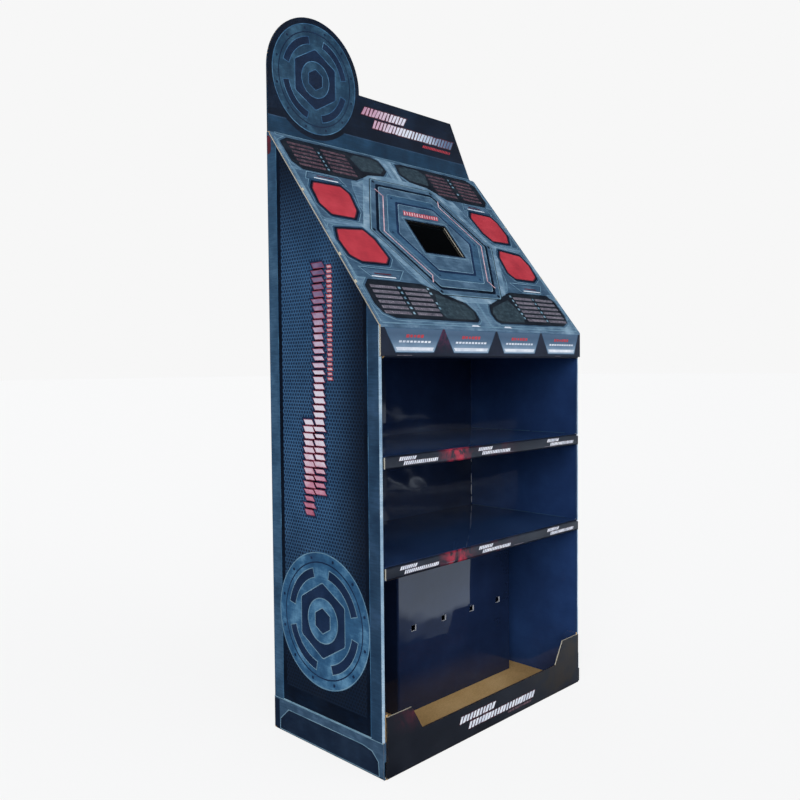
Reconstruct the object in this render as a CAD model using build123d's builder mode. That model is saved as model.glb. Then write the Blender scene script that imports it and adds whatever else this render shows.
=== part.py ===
from build123d import *
import math
import os

os.makedirs("parts", exist_ok=True)

# A floor display stand folded from corrugated board, about 1.4 m tall.
# Millimetres, +Z up, the front faces -Y, the origin is the bottom centre.

# Board and clearances
board = 3.2
liner_board = 1.6
ply_gap = 0.8
fit = 0.3
crease_radius = 2.4
hem_flat = 0.05

# Body
body_width = 600.0
body_depth = 300.0
crown_height = 1136.0
shoulder_height = 763.0
fascia_height = 54.5
fascia_end_relief = 3.2
plinth_height = 64.0
plinth_recess = 0.5

# Header card
arch_centre_height = 123.0
arch_radius = 116.5
header_height = 120.0
header_top_inset = 80.0
header_foot_inset = 10.0
tongue_length = 80.0
tongue_side_clearance = 5.0
tongue_chamfer = 20.0

# Screen window in the sloping deck, its player and the cradle that holds it
window_width = 116.0
window_height = 87.0
window_centre_distance = 238.0
window_corner = 1.5
player_width = 134.0
player_height = 105.0
player_depth = 14.0
player_corner = 4.0
screen_recess = 1.2
bezel_show = 1.0
cradle_flange = 22.0
cable_slot_width = 40.0
cable_slot_height = 12.0

# Lugs of the side walls that locate the deck
lug_length = 6.0
lug_depth = 2.4
lug_stand = 1.0
lower_lug_distance = 96.5
middle_lug_distance = 160.0
upper_lug_distance = 319.0
deck_corner = 5.0
hood_flange = 40.0

# Shelves
upper_shelf_height = 546.0
lower_shelf_height = 360.0
lip_height = 23.5
rail_depth = 26.0
shelf_tab_width = 50.0
shelf_tab_reach = 2.8
front_tab_offset = 70.0
rear_tab_offset = 80.0

# Riser box with its row of square peg holes
riser_width = 363.0
riser_right_gap = 38.8
riser_depth = 142.0
riser_flange = 60.0
peg_hole_width = 14.0
peg_hole_height = 12.0
peg_row_height = 171.0
peg_hole_pitch = 91.0
peg_hole_count = 4

# Base tray
tray_lip_height = 62.0
ear_height = 107.0
ear_top_width = 59.8
ear_foot_width = 86.8
foot_height = 31.0
foot_overhang = 4.0
glue_flap_depth = 34.0
glue_flap_height = 111.0
glue_flap_chamfer = 12.0

# Places worked out from the sizes above
half_width = body_width / 2
wall = 2 * board + ply_gap
inner_half = half_width - wall
front_y = -(body_depth + fit + board) / 2
back_y = -front_y
hem_y = back_y - body_depth
liner_back_y = back_y - board - ply_gap
liner_front_y = liner_back_y - liner_board
header_back_y = back_y - board - fit
header_front_y = header_back_y - board
deck_top_y = header_front_y - board
slope = math.atan2(crown_height - shoulder_height, deck_top_y - front_y)
deck_length = math.hypot(crown_height - shoulder_height, deck_top_y - front_y)
ceiling_bottom = shoulder_height - fascia_height
lug_stations = (lower_lug_distance, middle_lug_distance, upper_lug_distance)
shelf_tab_stations = (-front_tab_offset, rear_tab_offset)


def deck_level(y, depth):
    """Height at y of the line that lies a depth of board below the deck's printed face."""
    return shoulder_height + (y - front_y) * math.tan(slope) - depth / math.cos(slope)


# The deck's own plane: X across, Y up the slope from the fold, Z out of the print
deck_plane = Plane(
    origin=(0, front_y, shoulder_height),
    x_dir=(1, 0, 0),
    z_dir=(0, -math.sin(slope), math.cos(slope)),
)

# Body wrap: back and both double side walls, one sheet with its front edges hemmed in
outer_ply_x = half_width - board / 2
inner_ply_x = inner_half + board / 2
hem_line_y = hem_y + board / 2
back_line_y = back_y - board / 2
hem_radius = (board + ply_gap) / 2 - hem_flat

with BuildPart() as body_wrap:
    with BuildSketch(Plane.XY.offset(plinth_height)):
        with BuildLine():
            FilletPolyline(
                (-inner_ply_x, liner_back_y),
                (-inner_ply_x, hem_line_y),
                (-outer_ply_x, hem_line_y),
                (-outer_ply_x, back_line_y),
                (outer_ply_x, back_line_y),
                (outer_ply_x, hem_line_y),
                (inner_ply_x, hem_line_y),
                (inner_ply_x, liner_back_y),
                radius=(hem_radius, hem_radius, crease_radius, crease_radius, hem_radius, hem_radius),
            )
        trace(line_width=board)
    extrude(amount=crown_height - plinth_height)
    # The inner plies run on down, inside the base tray
    with BuildSketch(Plane.XY.offset(board + fit)):
        with Locations(*[(side * inner_ply_x, (hem_y + liner_back_y) / 2) for side in (-1, 1)]):
            Rectangle(board, liner_back_y - hem_y)
    extrude(amount=plinth_height - board - fit)
    # The sloping top edges that carry the deck
    with BuildSketch(Plane.YZ):
        with BuildLine():
            Polyline(
                (front_y, deck_level(front_y, board)),
                (header_front_y, deck_level(header_front_y, board)),
                (header_front_y, crown_height + wall),
                (front_y, crown_height + wall),
                close=True,
            )
        make_face()
    extrude(amount=body_width, both=True, mode=Mode.SUBTRACT)
    # Locating lugs on the outer plies
    for station in lug_stations:
        with BuildSketch(deck_plane.offset(-board)):
            with Locations(*[(side * (half_width - lug_depth / 2), station) for side in (-1, 1)]):
                Rectangle(lug_depth, lug_length)
        extrude(amount=board + lug_stand)
    # Slots in the inner plies for the shelf tabs
    for shelf_top in (upper_shelf_height, lower_shelf_height):
        for station in shelf_tab_stations:
            with Locations(*[(side * inner_ply_x, station, shelf_top - board / 2) for side in (-1, 1)]):
                Box(board + ply_gap, shelf_tab_width + 2 * fit, board + 2 * fit, mode=Mode.SUBTRACT)
body_wrap.part.label = "body_wrap"
export_step(body_wrap.part, "parts/body_wrap.step")

# Back liner: the flat panel that closes the back of the bays
with BuildPart() as back_liner:
    with BuildSketch(Plane.XY.offset(board + fit)):
        with Locations((0, (liner_back_y + liner_front_y) / 2)):
            Rectangle(2 * (inner_half - fit), liner_board)
    extrude(amount=ceiling_bottom - board - 2 * fit)
back_liner.part.label = "back_liner"
export_step(back_liner.part, "parts/back_liner.step")

# Deck hood: sloping deck, fascia and the ceiling of the top bay, one folded sheet
fascia_line_y = front_y + board / 2
ceiling_line_z = ceiling_bottom + board / 2
hood_back_line_y = liner_back_y - board / 2
deck_top_line = (
    deck_top_y + board / 2 * math.sin(slope),
    crown_height - board / 2 * math.cos(slope),
)
fold_line = (fascia_line_y, deck_level(fascia_line_y, board / 2))

with BuildPart() as deck_hood:
    with BuildSketch(Plane.YZ):
        with BuildLine():
            FilletPolyline(
                deck_top_line,
                fold_line,
                (fascia_line_y, ceiling_bottom + fascia_end_relief),
                radius=crease_radius,
            )
        trace(line_width=board)
    extrude(amount=half_width, both=True)
    with BuildSketch(Plane.YZ):
        with BuildLine():
            FilletPolyline(
                (fascia_line_y, shoulder_height - fascia_height / 2),
                (fascia_line_y, ceiling_line_z),
                (hood_back_line_y, ceiling_line_z),
                (hood_back_line_y, ceiling_line_z + hood_flange),
                radius=crease_radius,
            )
        trace(line_width=board)
    extrude(amount=inner_half - fit, both=True)
    # The screen window and the notches for the side walls' lugs
    with BuildSketch(deck_plane.offset(lug_stand)):
        with Locations((0, window_centre_distance)):
            RectangleRounded(window_width, window_height, window_corner)
        for station in lug_stations:
            with Locations(*[(side * half_width, station) for side in (-1, 1)]):
                Rectangle(2 * (lug_depth + fit), lug_length + 2 * fit)
        with Locations(*[(side * half_width, deck_length) for side in (-1, 1)]):
            Rectangle(2 * deck_corner, 2 * deck_corner)
        with Locations(*[(side * (half_width - deck_corner), deck_length - deck_corner) for side in (-1, 1)]):
            Circle(deck_corner, mode=Mode.SUBTRACT)
    extrude(amount=-(board + 2 * lug_stand), mode=Mode.SUBTRACT)
deck_hood.part.label = "deck_hood"
export_step(deck_hood.part, "parts/deck_hood.step")

# Screen player: a sealed slab with its screen sunk behind a bezel
with BuildPart() as screen_player:
    with BuildSketch(deck_plane.offset(-board - fit)):
        with Locations((0, window_centre_distance)):
            RectangleRounded(player_width, player_height, player_corner)
    extrude(amount=-player_depth)
    with BuildSketch(deck_plane.offset(-board - fit)):
        with Locations((0, window_centre_distance)):
            RectangleRounded(window_width - 2 * bezel_show, window_height - 2 * bezel_show, window_corner)
    extrude(amount=-screen_recess, mode=Mode.SUBTRACT)
screen_player.part.label = "screen_player"
export_step(screen_player.part, "parts/screen_player.step")

# Screen cradle: a card pocket with two flanges glued under the deck
cradle_inner_width = player_width + 2 * fit
cradle_inner_height = player_height + 2 * fit
cradle_depth = player_depth + 2 * fit

with BuildPart() as screen_cradle:
    with BuildSketch(deck_plane.offset(-board)):
        with Locations((0, window_centre_distance)):
            Rectangle(cradle_inner_width + 2 * liner_board, cradle_inner_height + 2 * liner_board)
    extrude(amount=-(cradle_depth + liner_board))
    with BuildSketch(deck_plane.offset(-board)):
        with Locations((0, window_centre_distance)):
            RectangleRounded(
                cradle_inner_width + 2 * (liner_board + cradle_flange),
                cradle_inner_height + 2 * liner_board,
                player_corner,
            )
    extrude(amount=-liner_board)
    with BuildSketch(deck_plane.offset(-board)):
        with Locations((0, window_centre_distance)):
            Rectangle(cradle_inner_width, cradle_inner_height)
    extrude(amount=-cradle_depth, mode=Mode.SUBTRACT)
    with BuildSketch(deck_plane.offset(-board - cradle_depth)):
        with Locations((0, window_centre_distance)):
            RectangleRounded(cable_slot_width, cable_slot_height, window_corner)
    extrude(amount=-2 * liner_board, mode=Mode.SUBTRACT)
screen_cradle.part.label = "screen_cradle"
export_step(screen_cradle.part, "parts/screen_cradle.step")

# Header card: a flat die-cut card with a round arch, slotted in behind the deck
arch_centre_x = arch_radius - half_width
header_top_end = half_width - header_top_inset
header_foot_end = half_width - header_foot_inset
arch_z = crown_height + arch_centre_height
header_top = crown_height + header_height
arch_join_x = arch_centre_x + math.sqrt(arch_radius**2 - (header_top - arch_z) ** 2)
tongue_left = -(inner_half - fit)
tongue_right = header_foot_end - tongue_side_clearance
tongue_foot = crown_height - tongue_length

with BuildPart() as header_card:
    with BuildSketch(Plane.XZ.offset(-header_back_y)):
        with BuildLine():
            ThreePointArc(
                (arch_centre_x - arch_radius, arch_z),
                (arch_centre_x, arch_z + arch_radius),
                (arch_join_x, header_top),
            )
            Polyline(
                (arch_join_x, header_top),
                (header_top_end, header_top),
                (header_foot_end, crown_height),
                (tongue_right, crown_height),
                (tongue_right, tongue_foot + tongue_chamfer),
                (tongue_right - tongue_chamfer, tongue_foot),
                (tongue_left + tongue_chamfer, tongue_foot),
                (tongue_left, tongue_foot + tongue_chamfer),
                (tongue_left, crown_height),
                (arch_centre_x - arch_radius, crown_height),
                (arch_centre_x - arch_radius, arch_z),
            )
        make_face()
    extrude(amount=board)
header_card.part.label = "header_card"
export_step(header_card.part, "parts/header_card.step")

# Shelves: a panel with a hollow front rail, side flanges and tabs into the side walls
shelf_half = inner_half - fit
shelf_back_y = liner_front_y - fit
shelf_tab_end = inner_half + shelf_tab_reach
rail_back_line_y = front_y + rail_depth - board / 2
flap_start_y = front_y + rail_depth + fit
flap_end_y = shelf_back_y - board
tab_notch = shelf_tab_width / 2 + fit
flap_edges = [flap_start_y]
for station in shelf_tab_stations:
    flap_edges += [station - tab_notch, station + tab_notch]
flap_edges.append(flap_end_y)
flap_runs = list(zip(flap_edges[0::2], flap_edges[1::2]))
fold_radius = crease_radius + board / 2

for shelf_name, shelf_top in (("upper_shelf", upper_shelf_height), ("lower_shelf", lower_shelf_height)):
    panel_line_z = shelf_top - board / 2
    lip_line_z = shelf_top - lip_height + board / 2
    with BuildPart() as shelf:
        with BuildSketch(Plane.YZ):
            with BuildLine():
                FilletPolyline(
                    (shelf_back_y, panel_line_z),
                    (fascia_line_y, panel_line_z),
                    (fascia_line_y, lip_line_z),
                    (rail_back_line_y, lip_line_z),
                    (rail_back_line_y, shelf_top - 2 * board),
                    radius=crease_radius,
                )
            trace(line_width=board)
        extrude(amount=shelf_half, both=True)
        # The rail's back ply runs up under the panel
        with Locations((0, rail_back_line_y, shelf_top - 1.5 * board)):
            Box(2 * shelf_half, board, 2 * board)
        # Side flaps between the tabs fold down along the side walls
        for run_start, run_end in flap_runs:
            with Locations((0, (run_start + run_end) / 2, panel_line_z)):
                with Locations(*[(side * (shelf_half - fold_radius / 2), 0) for side in (-1, 1)]):
                    Box(fold_radius, run_end - run_start, board, mode=Mode.SUBTRACT)
            with BuildSketch(Plane.XZ.offset(-run_end)):
                with BuildLine():
                    FilletPolyline(
                        (-(shelf_half - board / 2), shelf_top - lip_height),
                        (-(shelf_half - board / 2), panel_line_z),
                        (shelf_half - board / 2, panel_line_z),
                        (shelf_half - board / 2, shelf_top - lip_height),
                        radius=crease_radius,
                    )
                trace(line_width=board)
            extrude(amount=run_end - run_start)
        for station in shelf_tab_stations:
            with Locations((0, station, panel_line_z)):
                Box(2 * shelf_tab_end, shelf_tab_width, board)
    shelf.part.label = shelf_name
    export_step(shelf.part, f"parts/{shelf_name}.step")

# Riser box: stands on the tray behind the bottom bay and props the lower shelf
riser_right = inner_half - riser_right_gap
riser_left = riser_right - riser_width
riser_back_line_y = liner_front_y - fit - board / 2
riser_front_y = liner_front_y - fit - riser_depth
riser_front_line_y = riser_front_y + board / 2
riser_centre = (riser_left + riser_right) / 2

with BuildPart() as riser_box:
    with BuildSketch(Plane.XY.offset(board)):
        with BuildLine():
            FilletPolyline(
                (riser_left + riser_flange, riser_back_line_y),
                (riser_left + board / 2, riser_back_line_y),
                (riser_left + board / 2, riser_front_line_y),
                (riser_right - board / 2, riser_front_line_y),
                (riser_right - board / 2, riser_back_line_y),
                (riser_right - riser_flange, riser_back_line_y),
                radius=crease_radius,
            )
        trace(line_width=board)
    extrude(amount=lower_shelf_height - board - fit - board)
    with BuildSketch(Plane.XZ.offset(-riser_front_y - 2 * board)):
        with Locations((riser_centre, peg_row_height)):
            with GridLocations(peg_hole_pitch, 1, peg_hole_count, 1):
                Rectangle(peg_hole_width, peg_hole_height)
    extrude(amount=3 * board, mode=Mode.SUBTRACT)
riser_box.part.label = "riser_box"
export_step(riser_box.part, "parts/riser_box.step")

# Base tray: floor, low side and back walls, and a front lip with two raised ears
tray_half = half_width - plinth_recess
tray_back_y = back_y - plinth_recess
tray_side_line_x = tray_half - board / 2
tray_wall_top = plinth_height - fit
tray_front_inner_y = front_y + board
foot_half = inner_half + foot_overhang
ear_inner_top = inner_half - ear_top_width
ear_inner_foot = inner_half - ear_foot_width

with BuildPart() as base_tray:
    with BuildSketch(Plane.XZ.offset(-tray_back_y)):
        with BuildLine():
            FilletPolyline(
                (-tray_side_line_x, tray_wall_top),
                (-tray_side_line_x, board / 2),
                (tray_side_line_x, board / 2),
                (tray_side_line_x, tray_wall_top),
                radius=crease_radius,
            )
        trace(line_width=board)
    extrude(amount=tray_back_y - hem_y)
    with BuildSketch(Plane.YZ):
        with BuildLine():
            FilletPolyline(
                (fascia_line_y, foot_height),
                (fascia_line_y, board / 2),
                (tray_back_y - board / 2, board / 2),
                (tray_back_y - board / 2, tray_wall_top),
                radius=crease_radius,
            )
        trace(line_width=board)
    extrude(amount=inner_half + ply_gap, both=True)
    # The front lip, with its ears and feet
    with BuildSketch(Plane.XZ.offset(-tray_front_inner_y)):
        with BuildLine():
            Polyline(
                (-foot_half, crease_radius + board),
                (foot_half, crease_radius + board),
                (foot_half, foot_height),
                (inner_half, foot_height),
                (inner_half, ear_height),
                (ear_inner_top, ear_height),
                (ear_inner_foot, tray_lip_height),
                (-ear_inner_foot, tray_lip_height),
                (-ear_inner_top, ear_height),
                (-inner_half, ear_height),
                (-inner_half, foot_height),
                (-foot_half, foot_height),
                close=True,
            )
        make_face()
    extrude(amount=board)
    # Glue flaps that turn back from the ears along the side walls
    for side in (-1, 1):
        flap_face = Plane.YZ.offset(side * (inner_half - fit))
        with BuildSketch(flap_face):
            with BuildLine():
                Polyline(
                    (tray_front_inner_y, board),
                    (tray_front_inner_y + glue_flap_depth, board),
                    (tray_front_inner_y + glue_flap_depth, glue_flap_height - glue_flap_chamfer),
                    (tray_front_inner_y + glue_flap_depth - glue_flap_chamfer, glue_flap_height),
                    (tray_front_inner_y, glue_flap_height),
                    close=True,
                )
            make_face()
        extrude(amount=-side * board)
base_tray.part.label = "base_tray"
export_step(base_tray.part, "parts/base_tray.step")
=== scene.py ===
"""A floor display stand of folded corrugated board, dressed with its printed film, cut edges and screen."""

import logging
import math
from dataclasses import dataclass, field
from enum import Enum
from typing import Any, Iterable, Sequence

import bmesh
import bpy
from mathutils import Matrix, Vector
from mathutils.geometry import tessellate_polygon


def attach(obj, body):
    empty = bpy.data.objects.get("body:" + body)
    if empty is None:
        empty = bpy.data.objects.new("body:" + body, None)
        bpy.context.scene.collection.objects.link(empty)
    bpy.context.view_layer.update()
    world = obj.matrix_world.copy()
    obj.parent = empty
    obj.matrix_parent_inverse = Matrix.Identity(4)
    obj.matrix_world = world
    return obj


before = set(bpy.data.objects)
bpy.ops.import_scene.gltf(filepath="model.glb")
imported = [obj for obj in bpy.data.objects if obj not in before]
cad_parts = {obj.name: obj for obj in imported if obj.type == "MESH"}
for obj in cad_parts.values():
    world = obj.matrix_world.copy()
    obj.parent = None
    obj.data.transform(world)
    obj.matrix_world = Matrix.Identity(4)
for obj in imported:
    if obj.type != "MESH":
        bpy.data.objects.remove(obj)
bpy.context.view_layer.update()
LOG = logging.getLogger("stand")

Point = tuple[float, float]
Outline = Sequence[Point]
Tree = bpy.types.NodeTree
Socket = bpy.types.NodeSocket

# Millimetres to metres
MM = 0.001
# The printed film lies this far proud of the board, and each printed layer this far above the last
FILM = 0.15
INK = 0.05
BOARD = 3.2
# Film starts this far off the board, and a cut edge's paper stands this far proud of it
GAP = 0.02
RIM = 0.08
# B flute: one wave of the board's inner ply
FLUTE_PITCH = 6.4
# How strongly light bends in clear polypropylene film and in sized paper
FILM_IOR = 1.49
PAPER_IOR = 1.47

# The stand's own places in millimetres, as its boards are cut
HALF_WIDTH = 300.0
INNER_HALF = 292.8
FRONT = -151.75
BACK = 151.75
HEM = -148.25
SHOULDER = 763.0
CROWN = 1136.0
PLINTH = 64.0
HEADER_FRONT = 145.05
DECK_RISE = CROWN - SHOULDER
DECK_RUN = HEADER_FRONT - BOARD - FRONT
DECK_LENGTH = math.hypot(DECK_RISE, DECK_RUN)
SLOPE = math.atan2(DECK_RISE, DECK_RUN)
FOLD = 4.0


def linear(colour: str) -> tuple[float, float, float, float]:
    """Turns an sRGB hex colour to linear red, green, blue and alpha.

    Args:
        colour: six hex digits, with or without a leading hash.

    Returns:
        The four linear values that a Blender socket takes.
    """
    digits = colour.lstrip("#")
    parts = [int(digits[i : i + 2], 16) / 255 for i in (0, 2, 4)]
    return tuple(c / 12.92 if c <= 0.04045 else ((c + 0.055) / 1.055) ** 2.4 for c in parts) + (1.0,)


def add_node(
    tree: Tree, kind: str, settings: dict | None = None, inputs: dict | None = None
) -> bpy.types.Node:
    """Adds one node to a tree with its settings, values and links.

    Args:
        tree: the tree that gets the node.
        kind: the node's type name.
        settings: properties of the node itself.
        inputs: for each input, by name or number, its value, an output socket, or a node that it takes
            the first output of.

    Returns:
        The new node.
    """
    node = tree.nodes.new(kind)
    for name, value in (settings or {}).items():
        setattr(node, name, value)
    for key, value in (inputs or {}).items():
        if isinstance(value, bpy.types.Node):
            value = value.outputs[0]
        if isinstance(value, Socket):
            tree.links.new(value, node.inputs[key])
        else:
            node.inputs[key].default_value = value
    return node


def regular(sides: int, radius: float, centre: Point = (0.0, 0.0), turn: float = 0.0) -> list[Point]:
    """Gives the corners of a regular polygon, counter-clockwise from the angle turn in degrees."""
    angles = [math.radians(turn + 360 * i / sides) for i in range(sides)]
    return [(centre[0] + radius * math.cos(a), centre[1] + radius * math.sin(a)) for a in angles]


def arc(centre: Point, radius: float, start: float, end: float, steps: int = 8) -> list[Point]:
    """Gives points along an arc from start to end, in degrees."""
    angles = [math.radians(start + (end - start) * i / steps) for i in range(steps + 1)]
    return [(centre[0] + radius * math.cos(a), centre[1] + radius * math.sin(a)) for a in angles]


def circle(centre: Point, radius: float, steps: int = 96) -> list[Point]:
    """Gives points round a circle."""
    return regular(steps, radius, centre)


def sector(
    centre: Point, inner: float, outer: float, start: float, end: float, steps: int = 24
) -> list[Point]:
    """Gives a piece of a ring between two radii and two angles in degrees."""
    return arc(centre, outer, start, end, steps) + arc(centre, inner, end, start, steps)


def rectangle(left: float, low: float, right: float, high: float) -> list[Point]:
    """Gives the corners of an upright rectangle."""
    return [(left, low), (right, low), (right, high), (left, high)]


def mirrored(outline: Outline) -> list[Point]:
    """Gives the outline's mirror image across the stand's middle."""
    return [(-u, v) for u, v in reversed(outline)]


def moved(outline: Outline, u: float, v: float) -> list[Point]:
    """Gives the outline moved by u and v."""
    return [(a + u, b + v) for a, b in outline]


def area(outline: Outline) -> float:
    """Gives the signed area, positive for a counter-clockwise outline."""
    pairs = zip(outline, list(outline[1:]) + [outline[0]])
    return 0.5 * sum(a[0] * b[1] - b[0] * a[1] for a, b in pairs)


def inset(outline: Outline, amount: float) -> list[Point]:
    """Moves every edge of an outline inwards, or outwards for a negative amount.

    Args:
        outline: a closed outline without crossing edges.
        amount: the distance in millimetres.

    Returns:
        The new corners, one for each old one.
    """
    sign = 1.0 if area(outline) > 0 else -1.0
    count = len(outline)
    made = []
    for i in range(count):
        before, here, after = (Vector(outline[(i + k) % count]) for k in (-1, 0, 1))
        first, second = (here - before).normalized(), (after - here).normalized()
        inward_a = Vector((-first.y, first.x)) * sign
        inward_b = Vector((-second.y, second.x)) * sign
        spread = max(0.25, 1.0 + inward_a.dot(inward_b))
        shift = (inward_a + inward_b) * (amount / spread)
        made.append((here.x + shift.x, here.y + shift.y))
    return made


def rounded(outline: Outline, radius: float, steps: int = 4) -> list[Point]:
    """Rounds every corner of an outline.

    Args:
        outline: a closed outline.
        radius: the corner's radius, lessened where an edge is too short for it.
        steps: how many runs each corner gets.

    Returns:
        The rounded outline.
    """
    count = len(outline)
    made: list[Point] = []
    for i in range(count):
        before, here, after = (Vector(outline[(i + k) % count]) for k in (-1, 0, 1))
        to_before, to_after = before - here, after - here
        half = to_before.angle(to_after) / 2
        reach = min(radius / math.tan(half), 0.45 * to_before.length, 0.45 * to_after.length)
        start, end = here + to_before.normalized() * reach, here + to_after.normalized() * reach
        for k in range(steps + 1):
            t = k / steps
            spot = start * (1 - t) ** 2 + here * 2 * t * (1 - t) + end * t**2
            made.append((spot.x, spot.y))
    return made


@dataclass(frozen=True)
class Panel:
    """A flat face of the stand with its own millimetres: across, up and out of the face."""

    origin: Vector
    across: Vector
    up: Vector
    out: Vector

    def at(self, u: float, v: float, w: float) -> Vector:
        """Gives the place in metres of a point on or above the face."""
        return (self.origin + self.across * u + self.up * v + self.out * w) * MM

    def matrix(self, u: float = 0.0, v: float = 0.0, w: float = 0.0, turn: float = 0.0) -> Matrix:
        """Gives the matrix that lays a shape made flat at the origin, in metres, on the face."""
        rows = Matrix((self.across, self.up, self.out)).transposed().to_4x4()
        return Matrix.Translation(self.at(u, v, w)) @ rows @ Matrix.Rotation(math.radians(turn), 4, "Z")


X_AXIS, Y_AXIS, Z_AXIS = Vector((1, 0, 0)), Vector((0, 1, 0)), Vector((0, 0, 1))
DECK_UP = Vector((0, math.cos(SLOPE), math.sin(SLOPE)))
DECK_OUT = Vector((0, -math.sin(SLOPE), math.cos(SLOPE)))


class Face(Enum):
    """The stand's flat faces and the two planes that folded strips are drawn in."""

    LEFT = Panel(Vector((-HALF_WIDTH, 0, 0)), Y_AXIS, Z_AXIS, -X_AXIS)
    RIGHT = Panel(Vector((HALF_WIDTH, 0, 0)), Y_AXIS, Z_AXIS, X_AXIS)
    REAR = Panel(Vector((0, BACK, 0)), X_AXIS, Z_AXIS, Y_AXIS)
    DECK = Panel(Vector((0, FRONT, SHOULDER)), X_AXIS, DECK_UP, DECK_OUT)
    FRONT = Panel(Vector((0, FRONT, 0)), X_AXIS, Z_AXIS, -Y_AXIS)
    HEADER = Panel(Vector((0, HEADER_FRONT, 0)), X_AXIS, Z_AXIS, -Y_AXIS)
    PROFILE = Panel(Vector((0, 0, 0)), Y_AXIS, Z_AXIS, X_AXIS)
    PLAN = Panel(Vector((0, 0, 0)), X_AXIS, Y_AXIS, Z_AXIS)


@dataclass(frozen=True)
class Surface:
    """What every finish has: a name, how rough it is and how its light breaks."""

    name: str
    roughness: float
    ior: float = field(default=FILM_IOR, kw_only=True)

    def colour(self, tree: Tree, place: Socket) -> Socket:
        """Gives the socket of the finish's colour at a place, in metres."""
        raise NotImplementedError

    def relief(self, tree: Tree, place: Socket) -> Socket | None:
        """Gives the socket of the finish's height in metres, or None where it is smooth."""
        return None

    def material(self) -> bpy.types.Material:
        """Builds the material once and gives it back each time.

        Returns:
            The material, the same one for every piece that asks.
        """
        made = bpy.data.materials.get(self.name)
        if made is not None:
            return made
        made = bpy.data.materials.new(self.name)
        made.use_nodes = True
        tree = made.node_tree
        tree.nodes.clear()
        place = add_node(tree, "ShaderNodeTexCoord").outputs["Object"]
        shader = add_node(
            tree, "ShaderNodeBsdfPrincipled",
            inputs={
                "Base Color": self.colour(tree, place), "IOR": self.ior,
                "Roughness": self.sheen(tree, place),
            },
        )
        height = self.relief(tree, place)
        if height is not None:
            bump = add_node(
                tree, "ShaderNodeBump", inputs={"Height": height, "Distance": 1.0, "Strength": 1.0}
            )
            tree.links.new(bump.outputs["Normal"], shader.inputs["Normal"])
        add_node(tree, "ShaderNodeOutputMaterial", inputs={"Surface": shader})
        return made

    def sheen(self, tree: Tree, place: Socket) -> Socket:
        """Gives a roughness that wanders a little, as handled film does, in patches about 60 mm wide.

        Args:
            tree: the material's tree.
            place: the surface's place in metres.

        Returns:
            The socket of the roughness.
        """
        cloud = add_node(tree, "ShaderNodeTexNoise", inputs={"Vector": place, "Scale": 17.0, "Detail": 3.0})
        spread = add_node(
            tree, "ShaderNodeMapRange",
            inputs={
                "Value": cloud, "From Min": 0.3, "From Max": 0.7, "To Min": self.roughness * 0.82,
                "To Max": self.roughness * 1.2,
            },
        )
        return spread.outputs["Result"]


@dataclass(frozen=True)
class PrintedFilm(Surface):
    """Offset print under clear polypropylene film on corrugated board: a satin gloss over mottled ink.

    The flutes show through as faint bands in the gloss, and the ink is clouded like brushed steel.
    """

    dark: str = "#101b2c"
    middle: str = "#162338"
    light: str = "#1c2c44"
    cloud: float = 90.0
    streak: float = 0.35
    ripple: float = 0.006
    ripple_axis: str = "X"
    sag: float = 2.2

    def tone(self, tree: Tree, place: Socket) -> Socket:
        """Gives the ink's tone from dark, 0, to light, 1: wide clouds with finer brushed streaks.

        Args:
            tree: the material's tree.
            place: the surface's place in metres.

        Returns:
            The socket of the tone.
        """
        wide = add_node(
            tree, "ShaderNodeTexNoise",
            inputs={"Vector": place, "Scale": 1 / (self.cloud * MM), "Detail": 5.0, "Roughness": 0.62},
        )
        # The streaks are about 30 mm long and 3 mm tall
        drawn = add_node(tree, "ShaderNodeMapping", inputs={"Vector": place, "Scale": (14.0, 14.0, 150.0)})
        fine = add_node(
            tree, "ShaderNodeTexNoise",
            inputs={"Vector": drawn, "Scale": 2.4, "Detail": 4.0, "Roughness": 0.7},
        )
        mixed = add_node(tree, "ShaderNodeMix", inputs={"Factor": self.streak, 2: wide, 3: fine})
        spread = add_node(
            tree, "ShaderNodeMapRange", inputs={"Value": mixed, "From Min": 0.34, "From Max": 0.66}
        )
        return spread.outputs["Result"]

    def colour(self, tree: Tree, place: Socket) -> Socket:
        """Gives the ink's colour along its three tones."""
        return ink_ramp(tree, self.tone(tree, place), (self.dark, self.middle, self.light))

    def relief(self, tree: Tree, place: Socket) -> Socket:
        """Gives the washboard of the flutes under the film, microns high, and the board's slow sag.

        Args:
            tree: the material's tree.
            place: the surface's place in metres.

        Returns:
            The socket of the height in metres.
        """
        # Blender's wave has a period of pi / 10 over its scale
        flutes = add_node(
            tree, "ShaderNodeTexWave", {"bands_direction": self.ripple_axis},
            {"Vector": place, "Scale": math.pi / 10 / (FLUTE_PITCH * MM), "Distortion": 0.6, "Detail": 1.0},
        )
        # The sag comes in waves about 200 mm wide
        sag = add_node(tree, "ShaderNodeTexNoise", inputs={"Vector": place, "Scale": 5.0, "Detail": 2.0})
        low = add_node(tree, "ShaderNodeMath", {"operation": "MULTIPLY"}, {0: sag, 1: self.sag * MM})
        high = add_node(
            tree, "ShaderNodeMath", {"operation": "MULTIPLY"},
            {0: flutes.outputs["Fac"], 1: self.ripple * MM},
        )
        total = add_node(tree, "ShaderNodeMath", {"operation": "ADD"}, {0: low, 1: high})
        return total.outputs[0]


def set_stops(
    ramp: bpy.types.Node, stops: Sequence[tuple[float, tuple[float, float, float, float]]]
) -> Socket:
    """Sets the stops of a colour ramp.

    Args:
        ramp: the ramp's node, with its two stops as Blender makes them.
        stops: for each stop from the lowest up, its place from 0 to 1 and its linear colour.

    Returns:
        The colour's socket.
    """
    elements = ramp.color_ramp.elements
    while len(elements) < len(stops):
        elements.new(0.5)
    for element, (level, colour) in zip(elements, stops):
        element.position = level
        element.color = colour
    return ramp.outputs["Color"]


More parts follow.
